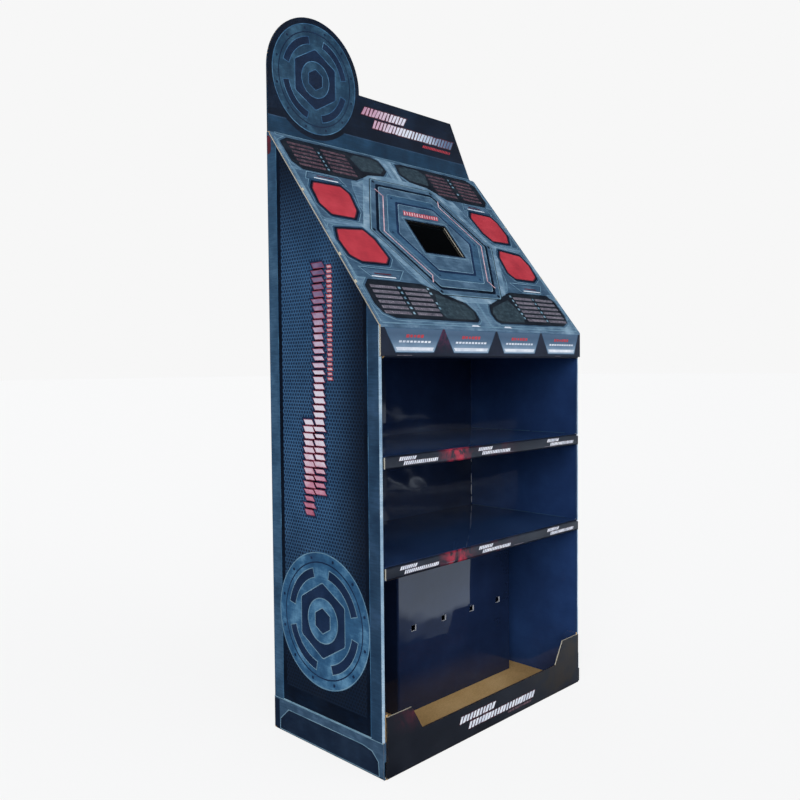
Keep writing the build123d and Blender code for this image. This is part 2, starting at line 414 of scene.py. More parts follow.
def ink_ramp(tree: Tree, tone: Socket, colours: Sequence[str]) -> Socket:
    """Spreads colours evenly along a tone.

    Args:
        tree: the material's tree.
        tone: a socket from 0 to 1.
        colours: sRGB hex values from dark to light.

    Returns:
        The colour's socket.
    """
    ramp = add_node(tree, "ShaderNodeValToRGB", inputs={"Fac": tone})
    last = len(colours) - 1
    return set_stops(ramp, [(i / last, linear(colour)) for i, colour in enumerate(colours)])


def span(tree: Tree, value: Socket, start: float, end: float) -> Socket:
    """Rises smoothly from 0 to 1 as a value goes from start to end, of which either may be the larger.

    Args:
        tree: the tree that gets the node.
        value: the value's socket.
        start: where the rise starts, in the value's own unit.
        end: where it ends.

    Returns:
        The socket of the share, 0 to 1.
    """
    low, high = (start, end) if start < end else (end, start)
    to = (0.0, 1.0) if start < end else (1.0, 0.0)
    ease = add_node(
        tree, "ShaderNodeMapRange", {"interpolation_type": "SMOOTHSTEP"},
        {"Value": value, "From Min": low, "From Max": high, "To Min": to[0], "To Max": to[1]},
    )
    return ease.outputs["Result"]


@dataclass(frozen=True)
class MeshFilm(PrintedFilm):
    """Printed film with a hexagonal mesh, as pierced steel lit from one side: cells 7.3 mm apart."""

    pitch: float = 7.3
    cell: str = "#0c1728"
    strand_dim: str = "#15263d"
    strand_lit: str = "#3f6c96"

    def cells(self, tree: Tree, place: Socket) -> Socket:
        """Gives 0 inside a cell of the mesh and 1 on its strands.

        Args:
            tree: the material's tree.
            place: the surface's place in metres.

        Returns:
            The socket of the strands' share.
        """
        parts = add_node(tree, "ShaderNodeSeparateXYZ", inputs={0: place})
        scale = 1 / (self.pitch * MM)
        flat = add_node(tree, "ShaderNodeCombineXYZ", inputs={0: parts.outputs["Y"], 1: parts.outputs["Z"]})
        spot = add_node(tree, "ShaderNodeVectorMath", {"operation": "SCALE"}, {0: flat, "Scale": scale})
        half = (0.5, math.sqrt(3) / 2, 1.0)
        less = tuple(-h for h in half)
        shifted = add_node(
            tree, "ShaderNodeVectorMath", {"operation": "SUBTRACT"}, {0: spot, 1: (half[0], half[1], 0)}
        )
        near = []
        for source in (spot, shifted):
            wrapped = add_node(
                tree, "ShaderNodeVectorMath", {"operation": "WRAP"}, {0: source, 1: half, 2: less}
            )
            reach = add_node(tree, "ShaderNodeVectorMath", {"operation": "LENGTH"}, {0: wrapped})
            near.append((wrapped.outputs[0], reach.outputs["Value"]))
        nearer = add_node(
            tree, "ShaderNodeMath", {"operation": "LESS_THAN"}, {0: near[0][1], 1: near[1][1]}
        )
        chosen = add_node(
            tree, "ShaderNodeMix", {"data_type": "VECTOR"}, {"Factor": nearer, 4: near[1][0], 5: near[0][0]}
        )
        sized = add_node(tree, "ShaderNodeVectorMath", {"operation": "ABSOLUTE"}, {0: chosen.outputs[1]})
        side = add_node(tree, "ShaderNodeSeparateXYZ", inputs={0: sized})
        corner = add_node(
            tree, "ShaderNodeVectorMath", {"operation": "DOT_PRODUCT"},
            {0: sized, 1: (0.5, math.sqrt(3) / 2, 0.0)},
        )
        edge = add_node(
            tree, "ShaderNodeMath", {"operation": "MAXIMUM"},
            {0: side.outputs["X"], 1: corner.outputs["Value"]},
        )
        strand = add_node(
            tree, "ShaderNodeMapRange", inputs={"Value": edge, "From Min": 0.27, "From Max": 0.42}
        )
        return strand.outputs["Result"]

    def colour(self, tree: Tree, place: Socket) -> Socket:
        """Gives the mesh's colour: lit at its upper middle and rear, dim at the ends and the front.

        Args:
            tree: the material's tree.
            place: the surface's place in metres.

        Returns:
            The colour's socket.
        """
        parts = add_node(tree, "ShaderNodeSeparateXYZ", inputs={0: place})
        over = span(tree, parts.outputs["Y"], -112 * MM, 5 * MM)
        foot = span(tree, parts.outputs["Z"], 150 * MM, 420 * MM)
        head = span(tree, parts.outputs["Z"], 1080 * MM, 860 * MM)
        lit = add_node(tree, "ShaderNodeMath", {"operation": "MULTIPLY"}, {0: over, 1: foot})
        glow = add_node(tree, "ShaderNodeMath", {"operation": "MULTIPLY"}, {0: lit, 1: head})
        clouded = add_node(
            tree, "ShaderNodeMath", {"operation": "MULTIPLY_ADD"},
            {0: self.tone(tree, place), 1: 0.5, 2: 0.6},
        )
        power = add_node(tree, "ShaderNodeMath", {"operation": "MULTIPLY"}, {0: glow, 1: clouded})
        strands = add_node(
            tree, "ShaderNodeMix", {"data_type": "RGBA"},
            {"Factor": power, 6: linear(self.strand_dim), 7: linear(self.strand_lit)},
        )
        grounds = add_node(
            tree, "ShaderNodeMix", {"data_type": "RGBA"},
            {"Factor": power, 6: linear(self.cell), 7: linear(self.middle)},
        )
        whole = add_node(
            tree, "ShaderNodeMix", {"data_type": "RGBA"},
            {"Factor": self.cells(tree, place), 6: grounds.outputs[2], 7: strands.outputs[2]},
        )
        return whole.outputs[2]


@dataclass(frozen=True)
class FadedFilm(PrintedFilm):
    """Printed film whose ink runs through several colours along an axis, between two places in mm."""

    axis: str = "Z"
    start: float = 0.0
    end: float = 100.0
    stops: tuple[str, ...] = ("#000000", "#ffffff")

    def colour(self, tree: Tree, place: Socket) -> Socket:
        """Gives the colour along the axis, with a little of the ink's cloud in it.

        Args:
            tree: the material's tree.
            place: the surface's place in metres.

        Returns:
            The colour's socket.
        """
        parts = add_node(tree, "ShaderNodeSeparateXYZ", inputs={0: place})
        along = add_node(
            tree, "ShaderNodeMapRange",
            inputs={
                "Value": parts.outputs[self.axis], "From Min": self.start * MM, "From Max": self.end * MM
            },
        )
        cloud = add_node(
            tree, "ShaderNodeMath", {"operation": "MULTIPLY_ADD"},
            {0: self.tone(tree, place), 1: 0.16, 2: -0.08},
        )
        place_on = add_node(tree, "ShaderNodeMath", {"operation": "ADD"}, {0: along, 1: cloud})
        return ink_ramp(tree, place_on.outputs[0], self.stops)


@dataclass(frozen=True)
class SmokeFilm(PrintedFilm):
    """Charcoal printed film with a drift of red smoke and a second, paler patch, both along X."""

    smoke: str = "#a02434"
    smoke_at: float = -105.0
    smoke_reach: float = 75.0
    haze: str = "#4a4f56"
    haze_at: float = 100.0
    haze_reach: float = 80.0
    # Heights between which the smoke comes in: both lie under the floor where it is whole everywhere
    smoke_foot: Point = (-2000.0, -1000.0)

    def drift(self, tree: Tree, place: Socket, at: float, reach: float, grain: float) -> Socket:
        """Gives a ragged patch centred at a place along X.

        Args:
            tree: the material's tree.
            place: the surface's place in metres.
            at: the patch's centre in millimetres.
            reach: its half length in millimetres.
            grain: the size of its wisps in millimetres.

        Returns:
            The socket of its strength, 0 to 1.
        """
        parts = add_node(tree, "ShaderNodeSeparateXYZ", inputs={0: place})
        rise = span(tree, parts.outputs["X"], (at - reach) * MM, at * MM)
        fall = span(tree, parts.outputs["X"], (at + reach) * MM, at * MM)
        bell = add_node(tree, "ShaderNodeMath", {"operation": "MULTIPLY"}, {0: rise, 1: fall})
        leaned = add_node(tree, "ShaderNodeMapping", inputs={"Vector": place, "Rotation": (0.0, 0.6, 0.0)})
        wisps = add_node(
            tree, "ShaderNodeTexNoise",
            inputs={
                "Vector": leaned, "Scale": 1 / (grain * MM), "Detail": 5.0, "Roughness": 0.66,
                "Distortion": 1.2,
            },
        )
        torn = add_node(
            tree, "ShaderNodeMapRange", inputs={"Value": wisps, "From Min": 0.42, "From Max": 0.62}
        )
        both = add_node(tree, "ShaderNodeMath", {"operation": "MULTIPLY"}, {0: bell, 1: torn})
        return both.outputs[0]

    def colour(self, tree: Tree, place: Socket) -> Socket:
        """Gives charcoal with the haze and then the smoke laid over it.

        Args:
            tree: the material's tree.
            place: the surface's place in metres.

        Returns:
            The colour's socket.
        """
        base = super().colour(tree, place)
        hazed = add_node(
            tree, "ShaderNodeMix", {"data_type": "RGBA"},
            {
                "Factor": self.drift(tree, place, self.haze_at, self.haze_reach, 60.0), 6: base,
                7: linear(self.haze),
            },
        )
        height = add_node(tree, "ShaderNodeSeparateXYZ", inputs={0: place}).outputs["Z"]
        wisps = self.drift(tree, place, self.smoke_at, self.smoke_reach, 24.0)
        risen = add_node(
            tree, "ShaderNodeMath", {"operation": "MULTIPLY"},
            {0: wisps, 1: span(tree, height, *(z * MM for z in self.smoke_foot))},
        )
        smoked = add_node(
            tree, "ShaderNodeMix", {"data_type": "RGBA"},
            {"Factor": risen, 6: hazed.outputs[2], 7: linear(self.smoke)},
        )
        return smoked.outputs[2]


@dataclass(frozen=True)
class Paper(Surface):
    """Bare liner paper: matt, with pressed fibres a few millimetres long and scattered darker flecks."""

    dark: str = "#7b6038"
    middle: str = "#917447"
    light: str = "#a5895a"
    fibre: tuple[float, float, float] = (120.0, 420.0, 420.0)
    ior: float = field(default=PAPER_IOR, kw_only=True)

    def colour(self, tree: Tree, place: Socket) -> Socket:
        """Gives drawn-out fibres over broad patches.

        Args:
            tree: the material's tree.
            place: the surface's place in metres.

        Returns:
            The colour's socket.
        """
        # The liner's fibres are about 4 mm long and 1 mm wide, and its patches about 110 mm wide
        drawn = add_node(tree, "ShaderNodeMapping", inputs={"Vector": place, "Scale": self.fibre})
        fibres = add_node(tree, "ShaderNodeTexNoise", inputs={"Vector": drawn, "Scale": 2.0, "Detail": 4.0})
        patches = add_node(
            tree, "ShaderNodeTexNoise", inputs={"Vector": place, "Scale": 9.0, "Detail": 3.0}
        )
        both = add_node(tree, "ShaderNodeMix", inputs={"Factor": 0.45, 2: fibres, 3: patches})
        spread = add_node(
            tree, "ShaderNodeMapRange", inputs={"Value": both, "From Min": 0.32, "From Max": 0.68}
        )
        return ink_ramp(tree, spread.outputs["Result"], (self.dark, self.middle, self.light))

    def relief(self, tree: Tree, place: Socket) -> Socket:
        """Gives the felt side of the paper: a grain about 1 mm wide and 0.02 mm high.

        Args:
            tree: the material's tree.
            place: the surface's place in metres.

        Returns:
            The socket of the height in metres.
        """
        felt = add_node(tree, "ShaderNodeTexNoise", inputs={"Vector": place, "Scale": 900.0, "Detail": 3.0})
        low = add_node(tree, "ShaderNodeMath", {"operation": "MULTIPLY"}, {0: felt, 1: 0.02 * MM})
        return low.outputs[0]


@dataclass(frozen=True)
class LuggedFilm(PrintedFilm):
    """The body's inner film, with bare board on the small lugs that stand up through the deck."""

    bare: str = "#d2cab6"
    # How far above the deck's underside the bare board starts
    margin: float = 0.15

    def colour(self, tree: Tree, place: Socket) -> Socket:
        """Gives bare board above the underside of the deck and ink elsewhere.

        Args:
            tree: the material's tree.
            place: the surface's place in metres.

        Returns:
            The colour's socket.
        """
        raised = add_node(
            tree, "ShaderNodeVectorMath", {"operation": "DOT_PRODUCT"}, {0: place, 1: tuple(DECK_OUT)}
        )
        datum = Vector((0, FRONT, SHOULDER)).dot(DECK_OUT) - BOARD + self.margin
        above = add_node(
            tree, "ShaderNodeMath", {"operation": "GREATER_THAN"},
            {0: raised.outputs["Value"], 1: datum * MM},
        )
        both = add_node(
            tree, "ShaderNodeMix", {"data_type": "RGBA"},
            {"Factor": above, 6: super().colour(tree, place), 7: linear(self.bare)},
        )
        return both.outputs[2]


class Finish(Enum):
    """The stand's finishes. Colours are what the real print shows in soft daylight."""

    # Brushed, clouded steel blue: the bands and plates read as painted metal seen through satin film
    STEEL = PrintedFilm("steel_blue_print_under_film", 0.38, "#27435d", "#375a78", "#4d7290", 60.0, 0.4)
    # The same metal in shade, for the front bands
    STEEL_DEEP = PrintedFilm(
        "deep_steel_blue_print_under_film", 0.38, "#1d3550", "#284662", "#37587a", 60.0, 0.4
    )
    # Well lit plate, greyer and strongly clouded, for the deck
    PLATE = PrintedFilm(
        "lit_steel_plate_print_under_film", 0.38, "#304a62", "#4f6e88", "#86a3b8", 62.0, 0.35
    )
    # Half lit plates round the panels and in the frame, clouded more finely
    SLATE = PrintedFilm(
        "slate_steel_plate_print_under_film", 0.38, "#2b455f", "#436079", "#617f98", 44.0, 0.35
    )
    # The brightest webs between the plates
    LIT = PrintedFilm("bright_steel_web_print_under_film", 0.37, "#4f6f89", "#6c8ba3", "#9ab3c4", 34.0, 0.3)
    # Bright and more coloured, for the side badge
    STEEL_BRIGHT = PrintedFilm(
        "bright_steel_blue_print_under_film", 0.37, "#21486d", "#34648a", "#6496b8", 42.0, 0.2
    )
    # Thin lit edges of the printed plates
    STEEL_PALE = PrintedFilm(
        "pale_steel_blue_print_under_film", 0.36, "#5c8096", "#7599ae", "#95b5c6", 40.0, 0.3
    )
    # Pale film round the folded front edges: a pale printed band with the fold's gloss highlight painted into
    # it
    HEM = PrintedFilm("pale_highlit_hem_print_under_film", 0.34, "#7292ae", "#94b0c6", "#c3d5e2", 45.0, 0.3)
    # Dim teal-blue metal of the header's badge
    BOSS = PrintedFilm("dim_teal_steel_print_under_film", 0.38, "#13304a", "#1e4059", "#35617d", 36.0, 0.15)
    # Dark teal of the header's foot band and of the card's inked edge, a breath bluer than the ground
    TEAL = PrintedFilm("dark_teal_print_under_film", 0.38, "#07263f", "#0d344f", "#1a4565", 60.0, 0.3)
    # Metal in deep shade, for what is sunk in the header's badge
    STEEL_NIGHT = PrintedFilm(
        "shaded_steel_blue_print_under_film", 0.38, "#0b1d36", "#102542", "#183150", 50.0, 0.3
    )
    # Flat shaded indigo, which makes the bars and the nuts stand off their ground
    INDIGO = PrintedFilm("indigo_print_under_film", 0.38, "#132745", "#192f50", "#21395d", 60.0, 0.2)
    # Near black ground with a trace of blue, so that the gloss still shows on it
    NIGHT = PrintedFilm("night_blue_print_under_film", 0.38, "#060f1e", "#09172b", "#0f233b", 80.0)
    # Pierced sheet steel: a fine honeycomb that glows where the light falls and dies into shade
    PIERCED = MeshFilm("pierced_steel_mesh_print_under_film", 0.4, "#0c1728", "#1c3452", "#27435f", 120.0)
    # Mirror-like laminate of the shelves: deep blue with a sharp room in it
    NAVY = PrintedFilm("navy_gloss_film_on_board", 0.06, "#1d2f50", "#22375b", "#283f66", 160.0, 0.1, 0.004)
    # The same laminate on the boards at the back, painted darker still as the shade deep in the bays
    NAVY_DIM = PrintedFilm(
        "dark_navy_gloss_film_on_board", 0.03, "#152039", "#192643", "#1e2d4d", 160.0, 0.1, 0.003
    )
    # The shelves' laminate on the glue flaps, duller and bluer where it catches the daylight
    NAVY_FLAP = PrintedFilm(
        "navy_gloss_film_on_flaps", 0.14, "#20355e", "#263e6c", "#2c487b", 160.0, 0.1, 0.004
    )
    # The laminate on the body's inner walls, as sharp as the back's, painted a little bluer and brighter for
    # the light that falls on them
    NAVY_BODY = LuggedFilm(
        "navy_gloss_film_on_body_board", 0.032, "#20355e", "#263e6c", "#2c487b", 160.0, 0.1, 0.004, "Y"
    )
    # Warm red, slightly uneven as a large tint is
    RED = PrintedFilm("red_print_under_film", 0.4, "#a62d3b", "#b93542", "#c8404d", 50.0, 0.2)
    # The same red in shade, nearly brown, for outlines and for the patch high on each side
    RED_DEEP = PrintedFilm("dark_red_print_under_film", 0.4, "#3a1f2c", "#582734", "#732c3a", 30.0, 0.2)
    # Charcoal of the deck's panels, clouded as worn paint is
    SOOT = PrintedFilm("soot_black_print_under_film", 0.4, "#141a24", "#1d242e", "#2a323b", 40.0, 0.3)
    # Olive grey with a fine grain, as of cast metal, in the panels' corners
    OLIVE = PrintedFilm("olive_black_print_under_film", 0.42, "#22303a", "#2f3f49", "#455963", 6.0, 0.3)
    # Dull rose of the ruled ticks on the upper panels
    ROSE = PrintedFilm("dusty_rose_print_under_film", 0.4, "#41303b", "#654a55", "#8c6973", 9.0, 0.3)
    # Blurred grey and rose ground of the ticks' rows
    ROW_HIGH = PrintedFilm("dim_rose_row_print_under_film", 0.4, "#2f2933", "#423843", "#564953", 9.0, 0.3)
    ROW_LOW = PrintedFilm("dim_ash_row_print_under_film", 0.4, "#43434e", "#5a5a65", "#73727d", 9.0, 0.3)
    # Pale ash with a trace of rose, broken up as if worn off
    ASH = PrintedFilm("ash_rose_print_under_film", 0.4, "#504a57", "#7b7380", "#a79fa9", 7.0, 0.3)
    # Crimson round the side's bars, which look lit from behind for it
    ROSE_EDGE = PrintedFilm(
        "rose_outline_print_under_film", 0.4, "#7a2f47", "#974058", "#b25a70", 30.0, 0.2
    )
    # Near white of the brightest marks, and of paper where the film is worn through
    CHALK = PrintedFilm("chalk_white_print_under_film", 0.36, "#c3cbd9", "#dde2ec", "#f4f6fa", 20.0, 0.2)
    # White let down by the red under it, for the bars' cores and the frame's bright lines
    PINK = PrintedFilm("pale_pink_print_under_film", 0.36, "#c38d99", "#dcb3bc", "#eed6dc", 25.0, 0.2)
    # Fascia plates: dull at the head and lit at the foot, as a bevel is
    LABEL = FadedFilm(
        "label_print_fading_down_under_film", 0.36, "#2b4561", "#5f7d9a", "#93aac0", 30.0, 0.2, axis="Z",
        start=718.0, end=759.0, stops=("#9db2c6", "#7790a8", "#506b86", "#435d78", "#4b6580"),
    )
    # Dark fascia ground with a breath of crimson between the first two plates
    FASCIA = SmokeFilm(
        "fascia_print_under_film", 0.36, "#0d1526", "#121a2e", "#19233a", 60.0, 0.2, smoke="#5c2046",
        smoke_at=-143.0, smoke_reach=46.0, haze="#1c2238", haze_at=120.0, haze_reach=180.0,
        smoke_foot=(712.0, 752.0),
    )
    # The side's column of bars: white in the middle, dying into the ground at both ends
    STRIPES = FadedFilm(
        "column_print_fading_up_under_film", 0.36, "#8d4a5c", "#c0889a", "#e6d2da", 30.0, 0.2, axis="Z",
        start=395.0, end=885.0,
        stops=("#b25770", "#d892a8", "#f2e6ef", "#f0e8f2", "#dcc6da", "#a687a6", "#6a5a80"),
    )
    # The header's bars: rose at the left, white in the middle and steel blue at the right
    BANNER = FadedFilm(
        "banner_print_fading_across_under_film", 0.36, "#8d4a5c", "#c0889a", "#e6d2da", 30.0, 0.2, axis="X",
        start=-66.0, end=230.0,
        stops=("#b9809b", "#cfa6bb", "#dfd6e4", "#e2e6f0", "#c3cfe0", "#7389a8", "#43587a"),
    )
    # Charcoal with a drift of red smoke and a dim plum one beside it
    LIP = SmokeFilm(
        "charcoal_lip_print_under_film", 0.34, "#0c1220", "#141b2a", "#212939", 55.0, 0.3, smoke="#b92b42",
        smoke_at=-110.0, smoke_reach=56.0, haze="#42202f", haze_at=0.0, haze_reach=95.0,
    )
    # Nearly black tray front, with dull red smoke at its left ear and a warm haze at the right
    TRAY = SmokeFilm(
        "tray_front_print_under_film", 0.36, "#0b0e18", "#111521", "#191d28", 120.0, 0.2, smoke="#571a2c",
        smoke_at=-205.0, smoke_reach=95.0, haze="#2a221b", haze_at=270.0, haze_reach=230.0,
        smoke_foot=(58.0, 110.0),
    )
    # Shaded steel blue of the tray's sides
    PLINTH = PrintedFilm("plinth_print_under_film", 0.38, "#122036", "#192a41", "#233750", 60.0, 0.3)
    # The paler band round them, clouded like scuffed metal
    PLINTH_PALE = PrintedFilm(
        "pale_plinth_print_under_film", 0.38, "#2e4861", "#3c5872", "#567490", 36.0, 0.35
    )
    # Bare brown liner inside the tray
    KRAFT = Paper("kraft_liner_paper", 0.82, "#b28d58", "#d0a96f", "#e4c088")
    # Pale sawn paper where a board is cut across
    CUT = Paper(
        "cut_edge_of_corrugated_board", 0.85, "#b3ac9b", "#cbc5b4", "#e2ddcd", (300.0, 300.0, 300.0)
    )
    # Warm shade in the flutes' open ends, by which a cut edge reads as corrugated
    MOUTH = Paper("shade_in_the_flutes", 0.9, "#6a6357", "#817968", "#9a917e", (300.0, 300.0, 300.0))
    # Moulded case of the player, dull black; also on the window's cut edge as painted shade
    BEZEL_AND_EDGE_SHADE = PrintedFilm(
        "moulded_black_abs_and_painted_shade", 0.45, "#050506", "#08080a", "#0c0c0f", 20.0, 0.2, 0.0, ior=1.53
    )
    # Glass over a panel that is off: black, with only the room's gloss on it
    SCREEN = PrintedFilm(
        "dark_screen_glass", 0.07, "#000001", "#000102", "#010203", 90.0, 0.0, 0.0, ior=1.38
    )

    @property
    def material(self) -> bpy.types.Material:
        """The finish's material."""
        return self.value.material()


class Sheet:
    """One piece of film or board edge: flat prisms in one mesh, each with its own finish."""

    def __init__(self, name: str, slot: str) -> None:
        """Starts an empty piece.

        Args:
            name: the piece's name.
            slot: the record's material slot for the piece; it is kept but not used.
        """
        self.name = name
        self.slot = slot
        self.mesh = bmesh.new()
        self.finishes: list[Finish] = []

    def prism(
        self, face: Face | Panel, outline: Outline, low: float, high: float, finish: Finish,
        holes: Sequence[Outline] = (),
    ) -> None:
        """Adds a closed prism that stands on a face.

        Args:
            face: the face, or a panel of the caller's own.
            outline: its shape in the face's millimetres.
            low: how far out of the face it starts.
            high: how far out it ends.
            finish: what it is covered with.
            holes: outlines cut out of it.
        """
        panel = face.value if isinstance(face, Face) else face
        if finish not in self.finishes:
            self.finishes.append(finish)
        loops = [list(outline)] + [list(hole) for hole in holes]
        feet = [[self.mesh.verts.new(panel.at(u, v, low)) for u, v in loop] for loop in loops]
        tops = [[self.mesh.verts.new(panel.at(u, v, high)) for u, v in loop] for loop in loops]
        made = []
        for foot, top in zip(feet, tops):
            count = len(foot)
            for i in range(count):
                k = (i + 1) % count
                made.append(self.mesh.faces.new((foot[i], foot[k], top[k], top[i])))
        if holes:
            flat = tessellate_polygon([[Vector((u, v, 0)) for u, v in loop] for loop in loops])
            for ring in (feet, tops):
                every = [vert for loop in ring for vert in loop]
                made += [
                    self.mesh.faces.new([every[i] for i in three]) for three in flat if len(set(three)) == 3
                ]
        else:
            made += [self.mesh.faces.new(feet[0]), self.mesh.faces.new(tops[0])]
        for part in made:
            part.material_index = self.finishes.index(finish)
        bmesh.ops.recalc_face_normals(self.mesh, faces=made)

    def ink(
        self, face: Face | Panel, outline: Outline, layer: int, finish: Finish,
        holes: Sequence[Outline] = (),
    ) -> None:
        """Prints a shape on a face: layer 0 is the film itself and each later layer lies over the last."""
        self.prism(face, outline, GAP, FILM + INK * layer, finish, holes)

    def ring(self, face: Face | Panel, outer: Outline, inner: Outline, layer: int, finish: Finish) -> None:
        """Prints what lies between two closed outlines."""
        self.ink(face, outer, layer, finish, [inner])

    def line(self, face: Face | Panel, outline: Outline, width: float, layer: int, finish: Finish) -> None:
        """Prints a line of one width just inside a closed outline."""
        self.ring(face, outline, inset(outline, width), layer, finish)

    def take(self, grown: bpy.types.Mesh, finish: Finish) -> None:
        """Takes in a mesh grown by a node tree, which is then removed.

        Args:
            grown: the mesh, in its place.
            finish: what it is covered with.
        """
        if finish not in self.finishes:
            self.finishes.append(finish)
        before = len(self.mesh.faces)
        self.mesh.from_mesh(grown)
        self.mesh.faces.ensure_lookup_table()
        for part in self.mesh.faces[before:]:
            part.material_index = self.finishes.index(finish)
        bpy.data.meshes.remove(grown)

    def done(self) -> bpy.types.Object:
        """Closes the piece, shades its folds smoothly and fixes it to the stand.

        Returns:
            The piece's object.
        """
        mesh = bpy.data.meshes.new(self.name)
        self.mesh.to_mesh(mesh)
        self.mesh.free()
        for finish in self.finishes:
            mesh.materials.append(finish.material)
        mesh.shade_smooth()
        mesh.set_sharp_from_angle(angle=math.radians(28))
        piece = bpy.data.objects.new(self.name, mesh)
        bpy.context.scene.collection.objects.link(piece)
        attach(piece, "root")
        return piece


class Growth:
    """A geometry node tree with named inputs, evaluated into a plain mesh."""

    def __init__(self, name: str, inputs: dict[str, tuple[str, Any]]) -> None:
        """Starts the tree.

        Args:
            name: the tree's name.
            inputs: for each named input, its socket type and its value.
        """
        self.name = name
        self.values = {key: value for key, (_, value) in inputs.items()}
        self.tree = bpy.data.node_groups.new(name, "GeometryNodeTree")
        self.tree.interface.new_socket("Geometry", in_out="INPUT", socket_type="NodeSocketGeometry")
        self.keys = {
            key: self.tree.interface.new_socket(key, in_out="INPUT", socket_type=kind).identifier
            for key, (kind, _) in inputs.items()
        }
        self.tree.interface.new_socket("Geometry", in_out="OUTPUT", socket_type="NodeSocketGeometry")
        self.given = add_node(self.tree, "NodeGroupInput").outputs

    def end(self, instances: Socket) -> None:
        """Ends the tree: instances are made real and take the material input.

        Args:
            instances: the socket of the instances that the tree has placed.
        """
        real = add_node(self.tree, "GeometryNodeRealizeInstances", inputs={0: instances})
        dressed = add_node(
            self.tree, "GeometryNodeSetMaterial",
            inputs={"Geometry": real, "Material": self.given["Material"]},
        )
        add_node(self.tree, "NodeGroupOutput", inputs={0: dressed})

    def mesh(self, place: Matrix, path: Iterable[Vector] = ()) -> bpy.types.Mesh:
        """Evaluates the tree.

        Args:
            place: where the flat shape goes.
            path: points joined into a line that the tree follows, if it needs one.

        Returns:
            The grown mesh, in place.
        """
        seed = bpy.data.meshes.new(self.name)
        points = list(path)
        seed.from_pydata(points, [(i, i + 1) for i in range(len(points) - 1)], [])
        holder = bpy.data.objects.new(self.name, seed)
        bpy.context.scene.collection.objects.link(holder)
        modifier = holder.modifiers.new(self.name, "NODES")
        modifier.node_group = self.tree
        for key, value in self.values.items():
            modifier[self.keys[key]] = value
        graph = bpy.context.evaluated_depsgraph_get()
        grown = bpy.data.meshes.new_from_object(holder.evaluated_get(graph))
        holder.modifiers.remove(modifier)
        bpy.data.objects.remove(holder)
        bpy.data.meshes.remove(seed)
        bpy.data.node_groups.remove(self.tree)
        grown.transform(place)
        if place.determinant() < 0:
            grown.flip_normals()
        return grown


@dataclass(frozen=True)
class TickRows:
    """Rows of plain printed ticks of wandering length, as on a ruled form."""

    columns: int
    rows: int
    column_pitch: float
    row_pitch: float
    height: float
    shortest: float
    longest: float
    keep: float
    seed: int

    def grow(self, panel: Panel, at: Point, layer: int, finish: Finish) -> bpy.types.Mesh:
        """Grows the rows with their lower left corner at a place on a panel.

        Args:
            panel: the face that carries it.
            at: the first tick's middle, at the lower left.
            layer: the printed layer.
            finish: its ink.

        Returns:
            The grown mesh.
        """
        growth = Growth(
            "tick_rows",
            {
                "Columns": ("NodeSocketInt", self.columns), "Rows": ("NodeSocketInt", self.rows),
                "Width": ("NodeSocketFloat", self.column_pitch * (self.columns - 1) * MM),
                "Depth": ("NodeSocketFloat", self.row_pitch * (self.rows - 1) * MM),
                "Tick": ("NodeSocketVector", (1.0 * MM, self.height * MM, INK * MM)),
                "Shortest": ("NodeSocketFloat", self.shortest),
                "Longest": ("NodeSocketFloat", self.longest), "Keep": ("NodeSocketFloat", self.keep),
                "Seed": ("NodeSocketInt", self.seed), "Material": ("NodeSocketMaterial", finish.material),
            },
        )
        tree, given = growth.tree, growth.given
        grid = add_node(
            tree, "GeometryNodeMeshGrid",
            inputs={
                "Size X": given["Width"], "Size Y": given["Depth"], "Vertices X": given["Columns"],
                "Vertices Y": given["Rows"],
            },
        )
        kept = add_node(
            tree, "FunctionNodeRandomValue", {"data_type": "BOOLEAN"},
            {"Probability": given["Keep"], "Seed": given["Seed"]},
        )
        length = add_node(
            tree, "FunctionNodeRandomValue", {"data_type": "FLOAT"},
            {2: given["Shortest"], 3: given["Longest"], "Seed": given["Seed"]},
        )
        stretch = add_node(tree, "ShaderNodeCombineXYZ", inputs={0: length.outputs[1], 1: 1.0, 2: 1.0})
        tick = add_node(tree, "GeometryNodeMeshCube", inputs={"Size": given["Tick"]})
        spread = add_node(
            tree, "GeometryNodeInstanceOnPoints",
            inputs={"Points": grid, "Selection": kept.outputs[3], "Instance": tick, "Scale": stretch},
        )
        growth.end(spread.outputs["Instances"])
        middle = (
            at[0] + self.column_pitch * (self.columns - 1) / 2, at[1] + self.row_pitch * (self.rows - 1) / 2
        )
        return growth.mesh(panel.matrix(*middle, FILM + INK * (layer - 0.4)))


